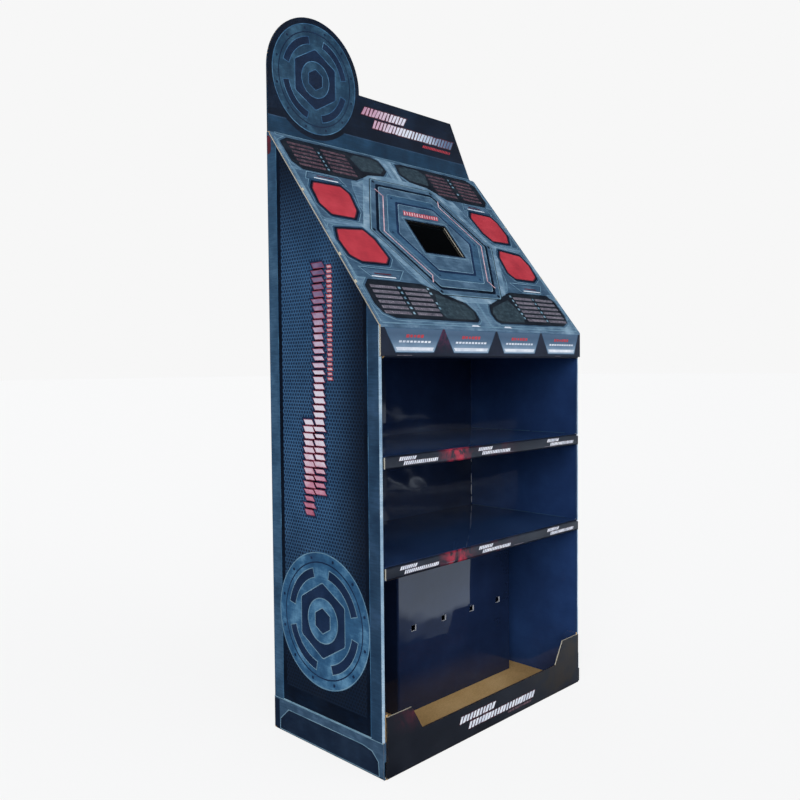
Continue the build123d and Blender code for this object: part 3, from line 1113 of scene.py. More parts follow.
@dataclass(frozen=True)
class SlantStrip:
    """A strip of leaning bars whose sizes wander a little."""

    count: int
    pitch: float
    bar: Point
    lean: float
    vary: Point = (0.0, 0.0)
    seed: int = 1

    def grow(
        self, panel: Panel, at: Point, layer: int, finish: Finish, upright: bool = False,
        fatten: float = 0.0,
    ) -> bpy.types.Mesh:
        """Grows the strip on a panel.

        Args:
            panel: the face that carries it.
            at: the first bar's middle on the face.
            layer: the printed layer.
            finish: its ink.
            upright: the strip climbs the face instead of crossing it.
            fatten: how much wider and taller each bar is all round, for an outline behind it.

        Returns:
            The grown mesh.
        """
        step = (0.0, self.pitch * MM, 0.0) if upright else (self.pitch * MM, 0.0, 0.0)
        wide, tall = ((size + 2 * fatten) * MM for size in self.bar)
        growth = Growth(
            "slant_strip",
            {
                "Count": ("NodeSocketInt", self.count), "Step": ("NodeSocketVector", step),
                "Bar": ("NodeSocketVector", (wide, tall, INK * MM)), "Lean": ("NodeSocketFloat", self.lean),
                "Least": ("NodeSocketVector", (1 - self.vary[0], 1 - self.vary[1], 1.0)),
                "Most": ("NodeSocketVector", (1 + self.vary[0], 1 + self.vary[1], 1.0)),
                "Seed": ("NodeSocketInt", self.seed), "Material": ("NodeSocketMaterial", finish.material),
            },
        )
        tree, given = growth.tree, growth.given
        line = add_node(
            tree, "GeometryNodeMeshLine", {"mode": "OFFSET"},
            {"Count": given["Count"], "Offset": given["Step"]},
        )
        block = add_node(tree, "GeometryNodeMeshCube", inputs={"Size": given["Bar"]})
        spot = add_node(tree, "GeometryNodeInputPosition")
        parts = add_node(tree, "ShaderNodeSeparateXYZ", inputs={0: spot})
        shear = add_node(
            tree, "ShaderNodeMath", {"operation": "MULTIPLY"}, {0: parts.outputs["Y"], 1: given["Lean"]}
        )
        aside = add_node(tree, "ShaderNodeCombineXYZ", inputs={0: shear})
        leaning = add_node(tree, "GeometryNodeSetPosition", inputs={"Geometry": block, "Offset": aside})
        size = add_node(
            tree, "FunctionNodeRandomValue", {"data_type": "FLOAT_VECTOR"},
            {0: given["Least"], 1: given["Most"], "Seed": given["Seed"]},
        )
        spread = add_node(
            tree, "GeometryNodeInstanceOnPoints",
            inputs={"Points": line, "Instance": leaning, "Scale": size},
        )
        growth.end(spread.outputs["Instances"])
        return growth.mesh(panel.matrix(*at, FILM + INK * (layer - 0.4)))


@dataclass(frozen=True)
class BoltRing:
    """A ring of printed bolt heads."""

    count: int
    radius: float
    bolt: float
    sides: int = 6
    turn: float = 0.0

    def grow(self, panel: Panel, u: float, v: float, layer: int, finish: Finish) -> bpy.types.Mesh:
        """Grows the ring round u, v on a panel.

        Args:
            panel: the face that carries it.
            u: the ring's centre across the face.
            v: and up the face.
            layer: the printed layer.
            finish: its ink.

        Returns:
            The grown mesh.
        """
        growth = Growth(
            "bolt_ring",
            {
                "Count": ("NodeSocketInt", self.count), "Radius": ("NodeSocketFloat", self.radius * MM),
                "Bolt": ("NodeSocketFloat", self.bolt * MM), "Sides": ("NodeSocketInt", self.sides),
                "Material": ("NodeSocketMaterial", finish.material),
            },
        )
        tree, given = growth.tree, growth.given
        ring = add_node(
            tree, "GeometryNodeMeshCircle", inputs={"Vertices": given["Count"], "Radius": given["Radius"]}
        )
        head = add_node(
            tree, "GeometryNodeMeshCylinder",
            inputs={"Vertices": given["Sides"], "Radius": given["Bolt"], "Depth": INK * MM},
        )
        spread = add_node(tree, "GeometryNodeInstanceOnPoints", inputs={"Points": ring, "Instance": head})
        growth.end(spread.outputs["Instances"])
        return growth.mesh(panel.matrix(u, v, FILM + INK * (layer - 0.4), self.turn))


@dataclass(frozen=True)
class FluteMouths:
    """The open ends of the flutes along a cut edge: small shaded gaps above and below the wave in turn."""

    board: float = BOARD
    pitch: float = FLUTE_PITCH / 2

    def grow(self, path: Sequence[Vector], across: Vector, finish: Finish = Finish.MOUTH) -> bpy.types.Mesh:
        """Grows the mouths.

        Args:
            path: the middle of the cut edge, in metres.
            across: the board's own thickness direction.
            finish: the shade.

        Returns:
            The grown mesh.
        """
        growth = Growth(
            "flute_mouths",
            {
                "Pitch": ("NodeSocketFloat", self.pitch * MM),
                "Across": ("NodeSocketVector", tuple(across)),
                "Stagger": ("NodeSocketFloat", self.board * 0.13 * MM),
                "Mouth": ("NodeSocketVector", (self.pitch * 0.4, self.board * 0.21, 1.0)),
                "Material": ("NodeSocketMaterial", finish.material),
            },
        )
        tree, given = growth.tree, growth.given
        curve = add_node(tree, "GeometryNodeMeshToCurve", inputs={0: given["Geometry"]})
        spaced = add_node(
            tree, "GeometryNodeResampleCurve", {"mode": "LENGTH"},
            {"Curve": curve, "Length": given["Pitch"]},
        )
        tangent = add_node(tree, "GeometryNodeInputTangent")
        outward = add_node(
            tree, "ShaderNodeVectorMath", {"operation": "CROSS_PRODUCT"}, {0: tangent, 1: given["Across"]}
        )
        turn = add_node(
            tree, "FunctionNodeAxesToRotation", {"primary_axis": "Z", "secondary_axis": "Y"},
            {0: outward, 1: given["Across"]},
        )
        order = add_node(tree, "GeometryNodeInputIndex")
        odd = add_node(tree, "ShaderNodeMath", {"operation": "MODULO"}, {0: order, 1: 2.0})
        sign = add_node(tree, "ShaderNodeMath", {"operation": "MULTIPLY_ADD"}, {0: odd, 1: 2.0, 2: -1.0})
        reach = add_node(tree, "ShaderNodeMath", {"operation": "MULTIPLY"}, {0: sign, 1: given["Stagger"]})
        shift = add_node(
            tree, "ShaderNodeVectorMath", {"operation": "SCALE"}, {0: given["Across"], "Scale": reach}
        )
        mouth = add_node(
            tree, "GeometryNodeMeshCylinder", inputs={"Vertices": 6, "Radius": 1.0 * MM, "Depth": 0.08 * MM}
        )
        spread = add_node(
            tree, "GeometryNodeInstanceOnPoints",
            inputs={"Points": spaced, "Instance": mouth, "Rotation": turn, "Scale": given["Mouth"]},
        )
        staggered = add_node(
            tree, "GeometryNodeTranslateInstances",
            inputs={"Instances": spread, "Translation": shift, "Local Space": False},
        )
        growth.end(staggered.outputs["Instances"])
        return growth.mesh(Matrix.Identity(4), path)


@dataclass(frozen=True)
class Badge:
    """A round plate with a bolted rim, a broken ring and a hexagon nut."""

    centre: Point
    radius: float
    rim: Finish
    disc: Finish
    dark: Finish
    light: Finish

    def disc_of(self, share: float) -> list[Point]:
        """Gives a circle round the badge's centre with a share of its radius."""
        return circle(self.centre, self.radius * share)

    def hexagon(self, share: float, corner: float) -> list[Point]:
        """Gives a hexagon with a share of the badge's radius and rounded corners."""
        return rounded(regular(6, self.radius * share, self.centre, 30), corner)

    def draw(self, sheet: Sheet, face: Face, layer: int) -> None:
        """Prints the badge on a face, over what is printed there.

        Args:
            sheet: the piece that takes it.
            face: the face that carries it.
            layer: the printed layer below the badge.
        """
        sheet.ink(face, self.disc_of(1.0), layer + 1, self.rim)
        sheet.ring(face, self.disc_of(0.995), self.disc_of(0.983), layer + 2, self.light)
        sheet.ring(face, self.disc_of(0.86), self.disc_of(0.84), layer + 2, self.dark)
        sheet.ink(face, self.disc_of(0.775), layer + 2, self.disc)
        for start in (12.0, 102.0, 192.0, 282.0):
            cut = self.radius * 0.012
            piece = sector(self.centre, self.radius * 0.64, self.radius * 0.765, start, start + 62)
            sheet.ink(face, inset(piece, -cut), layer + 3, self.light)
            sheet.ink(face, piece, layer + 4, self.dark)
        sheet.ink(face, self.hexagon(0.565, 7), layer + 3, self.light)
        sheet.ink(face, self.hexagon(0.55, 7), layer + 4, self.dark)
        sheet.ink(face, self.disc_of(0.335), layer + 5, self.light)
        sheet.ink(face, self.disc_of(0.32), layer + 6, self.disc)
        sheet.ink(face, self.hexagon(0.2, 3), layer + 7, self.light)
        sheet.ink(face, self.hexagon(0.185, 3), layer + 8, self.dark)
        bolts = BoltRing(12, self.radius * 0.92, self.radius * 0.026, 6, 15)
        sheet.take(bolts.grow(face.value, *self.centre, layer + 3, self.dark), self.dark)


@dataclass(frozen=True)
class Mark:
    """A generic banner: two staggered rows of leaning bars, the lower one longer."""

    length: float
    height: float
    bars: int
    seed: int = 2

    def draw(self, sheet: Sheet, panel: Panel, at: Point, layer: int, core: Finish, edge: Finish) -> None:
        """Prints the banner with its lower left corner at a place.

        Args:
            sheet: the piece that takes it.
            panel: the face that carries it.
            at: its lower left corner.
            layer: the printed layer.
            core: the bars' ink.
            edge: the ink of their outline.
        """
        pitch = self.length * 0.87 / self.bars
        tall = self.height * 0.4
        bar = (pitch * 0.7, tall)
        upper = max(3, round(self.bars * 0.5))
        rows = (
            (upper, at[0] + pitch * 0.5 + self.height * 0.2, at[1] + self.height * 0.78),
            (self.bars, at[0] + self.length * 0.13 + pitch * 0.5, at[1] + self.height * 0.24),
        )
        for count, u, v in rows:
            strip = SlantStrip(count, pitch, bar, 0.5, (0.22, 0.06), self.seed + count)
            sheet.take(strip.grow(panel, (u, v), layer, edge, fatten=self.height * 0.035), edge)
            sheet.take(strip.grow(panel, (u, v), layer + 1, core), core)


@dataclass
class SideWalls:
    """The body's outer faces: printed film round the hemmed side walls and the back."""

    rear_band: float = 121.0
    front_band: float = -119.0
    # Middle and radius of the hem's bend, and radius of the rear corners
    arc_centre: float = -144.7
    arc_radius: float = 3.55
    corner_radius: float = 4.0
    badge: Badge = field(
        default_factory=lambda: Badge(
            (4.0, 239.5), 124.0, Finish.STEEL_BRIGHT, Finish.STEEL_BRIGHT, Finish.INDIGO, Finish.STEEL_PALE
        )
    )
    sides: tuple[tuple[Face, str], ...] = field(default=((Face.LEFT, "left"), (Face.RIGHT, "right")))

    def top(self, y: float) -> float:
        """Gives the height of the film's sloping top edge, under the deck."""
        return SHOULDER + (y - FRONT) * math.tan(SLOPE) - BOARD / math.cos(SLOPE) - 0.2

    def strip(self, start: float, end: float, low: float = PLINTH) -> list[Point]:
        """Gives an upright strip of the side from a height to the film's top edge.

        Args:
            start: the strip's front edge.
            end: its rear edge.
            low: its foot.

        Returns:
            The strip's outline.
        """
        shape = [(start, low), (end, low)]
        if end > HEADER_FRONT:
            shape += [(end, CROWN), (HEADER_FRONT, CROWN), (HEADER_FRONT, self.top(HEADER_FRONT))]
        else:
            shape.append((end, self.top(end)))
        return shape + [(start, self.top(start))]

    def film(self, face: Face, name: str) -> None:
        """Makes one side's film: mesh field, border bands, badge and bars.

        Args:
            face: the side.
            name: the side's word in the piece's name.
        """
        sheet = Sheet(f"{name}_side_film", "printed_board")
        edge, rear = self.arc_centre, BACK - self.corner_radius
        front, back, dark = self.front_band, self.rear_band, 96.0
        sheet.ink(face, self.strip(edge, rear), 0, Finish.PIERCED)
        sheet.ink(face, rectangle(front, PLINTH, back, dark), 1, Finish.NIGHT)
        sheet.ink(face, self.strip(back - 10, back, dark), 1, Finish.NIGHT)
        sheet.ink(face, self.strip(front, front + 9, dark), 1, Finish.NIGHT)
        sheet.ink(face, self.strip(back, rear), 2, Finish.STEEL)
        sheet.ink(face, self.strip(edge, front), 2, Finish.STEEL_DEEP)
        sheet.ink(face, self.strip(back, back + 1.3, PLINTH + 2), 3, Finish.STEEL_BRIGHT)
        sheet.ink(face, self.strip(front - 1.3, front, PLINTH + 2), 3, Finish.STEEL_BRIGHT)
        sheet.ink(face, rectangle(front - 1, PLINTH, back + 1, PLINTH + 2.2), 4, Finish.STEEL_PALE)
        self.badge.draw(sheet, face, 3)
        self.bars(sheet, face)
        self.stain(sheet, face)
        sheet.done()

    def stain(self, sheet: Sheet, face: Face) -> None:
        """Prints the dark red patch at the top of the rear band."""
        patch = [(137, 1099), (141, 1094), (147.6, 1094), (147.6, 1129), (141, 1128), (137, 1120)]
        sheet.ink(face, rounded(patch, 4), 4, Finish.RED_DEEP)

    def bars(self, sheet: Sheet, face: Face) -> None:
        """Prints two staggered columns of leaning bars and the slim column beside them.

        Args:
            sheet: the piece that takes it.
            face: the face that carries it.
        """
        panel = face.value
        columns = (
            (SlantStrip(14, 12.6, (24.0, 7.6), 0.7, (0.14, 0.22), 5), (36.0, 432.0)),
            (SlantStrip(33, 12.6, (26.0, 7.6), 0.7, (0.14, 0.22), 9), (6.0, 471.0)),
        )
        for strip, at in columns:
            sheet.take(strip.grow(panel, at, 3, Finish.INDIGO, True, 4.2), Finish.INDIGO)
            sheet.take(strip.grow(panel, at, 4, Finish.ROSE_EDGE, True, 1.2), Finish.ROSE_EDGE)
            sheet.take(strip.grow(panel, at, 5, Finish.STRIPES, True), Finish.STRIPES)
        slim = SlantStrip(24, 8.5, (12.0, 4.6), 0.5, (0.12, 0.12), 3)
        sheet.take(slim.grow(panel, (-24.5, 674.0), 4, Finish.RED, True, 0.9), Finish.RED)
        sheet.take(slim.grow(panel, (-24.5, 674.0), 5, Finish.PINK, True, -0.5), Finish.PINK)

    def hems(self) -> None:
        """Makes the hems' film: pale outside with the fold's highlight painted in, navy where it turns in."""
        sheet = Sheet("front_hem_film", "printed_board")
        runs = ((180, 200, Finish.STEEL_DEEP), (200, 292, Finish.HEM), (292, 360, Finish.NAVY))
        for side in (-1, 1):
            centre = (side * (HALF_WIDTH - self.arc_radius - 0.05), self.arc_centre)
            for start, end, finish in runs:
                if side > 0:
                    start, end = 540 - end, 540 - start
                outer = arc(centre, self.arc_radius + FILM, start, end, 6)
                inner = arc(centre, self.arc_radius - 0.05, end, start, 6)
                sheet.prism(Face.PLAN, outer + inner, PLINTH, self.top(HEM) + 1, finish)
        sheet.done()

    def rear(self) -> None:
        """Makes the plain film of the back and its two rounded corners."""
        sheet = Sheet("rear_film", "printed_board")
        edge = HALF_WIDTH - self.corner_radius
        sheet.ink(Face.REAR, rectangle(-edge, PLINTH, edge, CROWN), 0, Finish.NIGHT)
        for side in (-1, 1):
            band = rectangle(edge - 30, PLINTH, edge, CROWN)
            sheet.ink(Face.REAR, band if side > 0 else mirrored(band), 1, Finish.STEEL_DEEP)
            trim = rectangle(edge - 31.2, PLINTH, edge - 30, CROWN)
            sheet.ink(Face.REAR, trim if side > 0 else mirrored(trim), 2, Finish.STEEL)
            centre = (side * edge, BACK - self.corner_radius)
            start = 0 if side > 0 else 90
            outer = arc(centre, self.corner_radius + FILM, start, start + 90)
            inner = arc(centre, self.corner_radius + GAP, start + 90, start)
            sheet.prism(Face.PLAN, outer + inner, PLINTH, CROWN, Finish.STEEL)
        sheet.ink(Face.REAR, rectangle(-edge + 31.2, PLINTH, edge - 31.2, PLINTH + 2.2), 2, Finish.STEEL)
        sheet.done()

    def crown(self) -> None:
        """Makes the cut top edge of the back, with its flute mouths."""
        sheet = Sheet("crown_cut_edges", "printed_board")
        sheet.prism(
            Face.PLAN, rectangle(-292, BACK - BOARD + 0.1, 292, BACK - 0.1), CROWN, CROWN + RIM, Finish.CUT
        )
        middle = (BACK - BOARD / 2) * MM
        path = [Vector((x * MM, middle, (CROWN + RIM) * MM)) for x in (290.0, -290.0)]
        sheet.take(FluteMouths().grow(path, Y_AXIS), Finish.MOUTH)
        sheet.done()

    def build(self) -> None:
        """Builds both sides, the hems, the back and the crown, and dresses the body's own board."""
        for face, name in self.sides:
            self.film(face, name)
        self.hems()
        self.rear()
        self.crown()
        dress("body_wrap", Finish.NAVY_BODY)


def dress(node: str, finish: Finish) -> None:
    """Gives a CAD node its material.

    Args:
        node: the node's name.
        finish: what it is covered with.
    """
    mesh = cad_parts[node].data
    mesh.materials.clear()
    mesh.materials.append(finish.material)


@dataclass
class SlopingDeck:
    """The hood: sloping deck with its screen window, fascia, ceiling, and their cut edges."""

    window: Point = (116.0, 87.0)
    window_at: float = 238.0
    # How far up the deck the front fold's bend ends
    tangent: float = 1.4
    # Depth and half length of each notch for a side wall's lug
    notch: Point = (2.9, 3.4)
    notches: tuple[float, ...] = (96.5, 160.0, 319.0)
    corner: float = 5.0
    fascia_low: float = 711.7
    ceiling: float = 708.5

    def outline(self) -> list[Point]:
        """Gives the deck's own outline, with its notches and rounded top corners.

        Returns:
            The outline, counter-clockwise from the right front corner.
        """
        right: list[Point] = [(HALF_WIDTH, self.tangent)]
        for station in self.notches:
            deep, half = self.notch
            right += [
                (HALF_WIDTH, station - half), (HALF_WIDTH - deep, station - half),
                (HALF_WIDTH - deep, station + half), (HALF_WIDTH, station + half),
            ]
        top = DECK_LENGTH - 0.1
        right += arc((HALF_WIDTH - self.corner, top - self.corner), self.corner, 0, 90, 6)
        return right + mirrored(right)

    def opening(self, grow: float = 0.0) -> list[Point]:
        """Gives the screen window, grown all round by a distance.

        Args:
            grow: the distance in millimetres.

        Returns:
            The window's outline.
        """
        half_width, half_height = self.window[0] / 2 + grow, self.window[1] / 2 + grow
        box = rectangle(-half_width, self.window_at - half_height, half_width, self.window_at + half_height)
        return rounded(box, 1.5, 3)

    def hexagon(self, radius: float, corner: float = 8.0) -> list[Point]:
        """Gives a hexagon round the screen window, with rounded corners."""
        return rounded(regular(6, radius, (0.0, self.window_at), 0), corner)

    def field(self) -> None:
        """Makes the deck's film with its plates, panels and frames."""
        sheet = Sheet("deck_film", "deck_board")
        face, hole = Face.DECK, self.opening()
        sheet.ink(face, self.outline(), 0, Finish.PLATE, [hole])
        for side in (1, -1):
            for shape, layer, finish in self.half_plates() + self.half_print():
                sheet.ink(face, shape if side > 0 else mirrored(shape), layer, finish)
        rings = (
            (198.5, Finish.STEEL_PALE), (197.2, Finish.LIT), (182.0, Finish.SOOT),
            (179.6, Finish.STEEL_PALE), (177.6, Finish.SLATE), (165.0, Finish.NIGHT),
            (157.0, Finish.STEEL_PALE), (155.4, Finish.SLATE), (134.0, Finish.STEEL_PALE),
            (132.4, Finish.STEEL), (111.0, Finish.INDIGO), (104.0, Finish.STEEL_PALE),
            (102.6, Finish.SLATE),
        )
        for layer, (radius, finish) in enumerate(rings):
            sheet.ink(face, self.hexagon(radius), layer + 2, finish, [hole])
        top = 2 + len(rings)
        for side in (1, -1):
            for shape in self.brackets():
                sheet.ink(face, shape if side > 0 else mirrored(shape), top, Finish.PINK)
            for shape in self.gussets():
                sheet.ink(face, shape if side > 0 else mirrored(shape), top - 2, Finish.STEEL_DEEP)
        sheet.ring(face, self.opening(8.0), self.opening(6.8), top, Finish.STEEL_PALE)
        sheet.ring(face, self.opening(2.6), hole, top, Finish.NIGHT)
        panel = face.value
        bolts = BoltRing(6, 171.5, 3.8, 6, 0)
        sheet.take(bolts.grow(panel, 0.0, self.window_at, top, Finish.NIGHT), Finish.NIGHT)
        bolts = BoltRing(6, 121.5, 2.8, 6, 0)
        sheet.take(bolts.grow(panel, 0.0, self.window_at, top, Finish.INDIGO), Finish.INDIGO)
        dashes = SlantStrip(14, 7.4, (4.4, 10.5), 0.5, (0.2, 0.1), 4)
        sheet.take(dashes.grow(panel, (-48, 303), top, Finish.RED, fatten=1.1), Finish.RED)
        sheet.take(dashes.grow(panel, (-48, 303), top + 1, Finish.PINK, fatten=-0.6), Finish.PINK)
        sheet.done()

    def gussets(self) -> list[Outline]:
        """Gives the dark wedges printed inside the frame's right corner, beside the screen.

        Returns:
            The outlines, for the right half.
        """
        return [[(67, 203), (90, 236), (78, 236), (63, 214)], [(67, 273), (90, 240), (78, 240), (63, 262)]]

    def half_plates(self) -> list[tuple[Outline, int, Finish]]:
        """Gives the half lit plates under the right half's fields, and the bright webs between them.

        Returns:
            Each shape with its printed layer and its ink.
        """
        plates = (
            [
                (160, 352), (172, 300), (168, 258), (178, 249), (284, 249), (290, 256), (290, 376),
                (150, 376),
            ],
            [
                (152, 136), (166, 186), (160, 222), (176, 236), (284, 236), (290, 229), (290, 108),
                (132, 108),
            ],
            [(0, 476), (286, 476), (286, DECK_LENGTH - 4), (0, DECK_LENGTH - 4)],
        )
        webs = (
            [(176, 239.5), (290, 239.5), (290, 245.5), (176, 245.5)],
            [(4, 402), (15, 402), (15, 470), (4, 470)],
        )
        shapes: list[tuple[Outline, int, Finish]] = []
        for plate in plates:
            shapes += [(inset(plate, -1.2), 1, Finish.STEEL_PALE), (plate, 2, Finish.SLATE)]
        return shapes + [(web, 1, Finish.LIT) for web in webs]

    def half_print(self) -> list[tuple[Outline, int, Finish]]:
        """Gives the shapes printed on the deck's right half, for both sides.

        Returns:
            Each shape with its printed layer and its ink.
        """
        upper_field = [(206, 261), (262, 262), (277, 288), (273, 328)]
        upper_field += [(262, 346), (194, 348), (181, 330), (188, 284)]
        lower_field = [(194, 148), (256, 147), (277, 160), (282, 196)]
        lower_field += [(272, 224), (204, 232), (188, 210), (180, 164)]
        shapes: list[tuple[Outline, int, Finish]] = []
        for shape in (upper_field, lower_field):
            shapes += [
                (rounded(inset(shape, -9.5), 9), 3, Finish.STEEL_PALE),
                (rounded(inset(shape, -8.4), 8), 4, Finish.STEEL_DEEP),
                (rounded(inset(shape, -4.6), 7), 5, Finish.NIGHT),
                (rounded(inset(shape, -0.6), 7), 6, Finish.RED_DEEP),
                (rounded(inset(shape, 1.6), 6), 7, Finish.RED),
            ]
        upper_panel = [(20, 432), (26, 462), (44, 468), (262, 467), (285, 452)]
        upper_panel += [(285, 398), (268, 380), (136, 379), (88, 405), (40, 413)]
        lower_panel = [(24, 42), (26, 24), (36, 17), (252, 18), (276, 29), (284, 48)]
        lower_panel += [(282, 88), (266, 104), (134, 103), (98, 90), (36, 62)]
        for shape in (upper_panel, lower_panel):
            shapes += [
                (rounded(inset(shape, -6.6), 5), 1, Finish.STEEL_PALE),
                (rounded(inset(shape, -5.4), 5), 2, Finish.SLATE),
                (rounded(inset(shape, -1.4), 4), 3, Finish.NIGHT), (rounded(shape, 3), 4, Finish.SOOT),
            ]
        high_field = [(26, 434), (32, 456), (50, 462), (96, 462), (112, 448), (100, 414), (44, 419)]
        low_field = [(30, 42), (33, 27), (42, 22), (118, 22), (128, 40), (110, 82), (42, 57)]
        shapes += [(rounded(shape, 4), 5, Finish.OLIVE) for shape in (high_field, low_field)]
        for shape, low in (
            ([(186, 374), (262, 374), (274, 354), (176, 354)], 359.0),
            ([(186, 109), (250, 109), (270, 133), (162, 133)], 112.0),
        ):
            shapes += [
                (inset(shape, -1.4), 3, Finish.STEEL_PALE), (shape, 4, Finish.STEEL_DEEP),
                (inset(shape, 2.4), 5, Finish.SLATE),
                (rectangle(192, low, 252, low + 2.4), 6, Finish.CHALK),
                (rectangle(200, low + 6.5, 242, low + 9.5), 6, Finish.RED_DEEP),
            ]
        shapes += [
            ([(1, 398), (2.2, 398), (2.2, 470), (1, 470)], 1, Finish.STEEL_PALE),
            ([(1, 6), (2.2, 6), (2.2, 78), (1, 78)], 1, Finish.STEEL_PALE),
            (rectangle(293, 8, 294.4, DECK_LENGTH - 12), 1, Finish.STEEL_PALE),
            ([(0, 4.5), (292, 4.5), (292, 5.8), (0, 5.8)], 1, Finish.STEEL_PALE),
            ([(36, 5), (62, 5), (57, 8.6), (41, 8.6)], 2, Finish.CHALK),
        ]
        return shapes

    def brackets(self) -> list[Outline]:
        """Gives the thin bright lines that follow the frame's side corner.

        Returns:
            The outlines, for the right half.
        """
        outer = regular(6, 146.0, (0.0, self.window_at), 0)
        inner = regular(6, 143.6, (0.0, self.window_at), 0)
        right, above, below = 0, 1, 5

        def along(ring: Sequence[Point], end: int, share: float) -> Point:
            """Gives a place on the way from the side corner to the next one."""
            a, b = ring[right], ring[end]
            return (a[0] + (b[0] - a[0]) * share, a[1] + (b[1] - a[1]) * share)

        shape = [along(outer, below, 0.86), outer[right], along(outer, above, 0.86)]
        shape += [along(inner, above, 0.86), inner[right], along(inner, below, 0.86)]
        tip = along(outer, above, 0.86)
        tail = along(outer, below, 0.86)
        return [
            shape, [tip, (tip[0] + 2.6, tip[1]), (tip[0] + 12, tip[1] + 17), (tip[0] + 9.6, tip[1] + 17)],
            [tail, (tail[0] + 2.6, tail[1]), (tail[0] + 12, tail[1] - 17), (tail[0] + 9.6, tail[1] - 17)],
        ]

    def forms(self) -> None:
        """Makes the rows of ticks on the four dark panels, two thin lines to a row."""
        sheet = Sheet("deck_tick_rows", "deck_board")
        panel = Face.DECK.value
        blocks = [(u, 392, 6, Finish.ROSE) for u in (-270, -188, 116, 202)]
        blocks += [(u, 28, 6, Finish.ASH) for u in (-272, -192, 134, 210)]
        for seed, (u, v, rows, finish) in enumerate(blocks):
            ground = Finish.ROW_HIGH if finish is Finish.ROSE else Finish.ROW_LOW
            for row in range(rows):
                low = v + 11.8 * row
                sheet.ink(Face.DECK, rectangle(u + 1, low - 2.2, u + 64, low + 5.0), 6, ground)
            for line in (0, 1):
                ticks = TickRows(12, rows, 5.4, 11.8, 2.0, 3.2, 5.2, 0.88, 2 * seed + line + 3)
                sheet.take(ticks.grow(panel, (u + 3, v + 2.8 * line), 7, finish), finish)
        for seed, (u, v) in enumerate(
            ((-198, 394), (192, 394), (-200, 30), (-122, 34), (204, 30), (128, 34))
        ):
            column = TickRows(1, 6, 0.0, 11.8, 5.2, 4.0, 6.5, 0.85, seed + 31)
            sheet.take(column.grow(panel, (u, v), 8, Finish.STEEL_PALE), Finish.STEEL_PALE)
        sheet.done()

    def fold_and_fascia(self) -> None:
        """Makes the film round the front fold, the fascia with its labels, and the ceiling."""
        sheet = Sheet("fascia_film", "deck_board")
        degrees = math.degrees(SLOPE)
        centre_y, centre_z = FRONT + FOLD, SHOULDER - self.tangent
        outer = arc((centre_y, centre_z), FOLD + FILM, 180, 90 + degrees, 5)
        inner = arc((centre_y, centre_z), FOLD + GAP, 90 + degrees, 180, 5)
        sheet.prism(Face.PROFILE, outer + inner, -HALF_WIDTH, HALF_WIDTH, Finish.PLATE)
        top = SHOULDER - self.tangent
        sheet.ink(Face.FRONT, rectangle(-HALF_WIDTH, self.fascia_low, HALF_WIDTH, top), 0, Finish.FASCIA)
        sheet.ink(
            Face.FRONT, rectangle(-292.4, self.ceiling + FOLD, 292.4, self.fascia_low), 0, Finish.FASCIA
        )
        low = (FRONT + FOLD, self.ceiling + FOLD)
        strip = arc(low, FOLD + FILM, 180, 270, 6) + arc(low, FOLD + GAP, 270, 180, 6)
        sheet.prism(Face.PROFILE, strip, -292.4, 292.4, Finish.FASCIA)
        ceiling = rectangle(FRONT + FOLD, self.ceiling - FILM, 140.0, self.ceiling - GAP)
        sheet.prism(Face.PROFILE, ceiling, -292.3, 292.3, Finish.NAVY)
        panel = Face.FRONT.value
        labels = (
            ((-288, -149), (-265, -171)), ((-139, 3), (-116, -19)), ((12, 149), (32, 131)),
            ((159, 290), (180, 276)),
        )
        for head, foot in labels:
            label = [(foot[0], 719), (foot[1], 719), (head[1], 758), (head[0], 758)]
            sheet.ink(Face.FRONT, inset(label, -1.5), 1, Finish.STEEL)
            sheet.ink(Face.FRONT, label, 2, Finish.LABEL)
            width = foot[1] - foot[0]
            bar = [
                (foot[0] + 3, 721.5), (foot[1] - 3, 721.5), (foot[1] + 0.5, 727.0), (foot[0] - 0.5, 727.0)
            ]
            sheet.ink(Face.FRONT, bar, 3, Finish.CHALK)
            count = int(width / 9.5)
            dashes = SlantStrip(count, 9.0, (6.4, 3.4), 0.4)
            left = (foot[0] + foot[1]) / 2 - 9.0 * (count - 1) / 2
            sheet.take(dashes.grow(panel, (left, 736.5), 3, Finish.CHALK), Finish.CHALK)
            short = SlantStrip(max(3, count - 4), 9.0, (6.6, 5.0), 0.4, (0.15, 0.2), 6)
            sheet.take(short.grow(panel, (left + 18, 746.0), 3, Finish.RED), Finish.RED)
        sheet.ink(Face.FRONT, rectangle(-HALF_WIDTH, 759.6, HALF_WIDTH, top), 1, Finish.PLATE)
        for left, right in ((-262, -226), (204, 226)):
            sheet.ink(Face.FRONT, rectangle(left, 712.9, right, 713.6), 1, Finish.ASH)
        sheet.done()

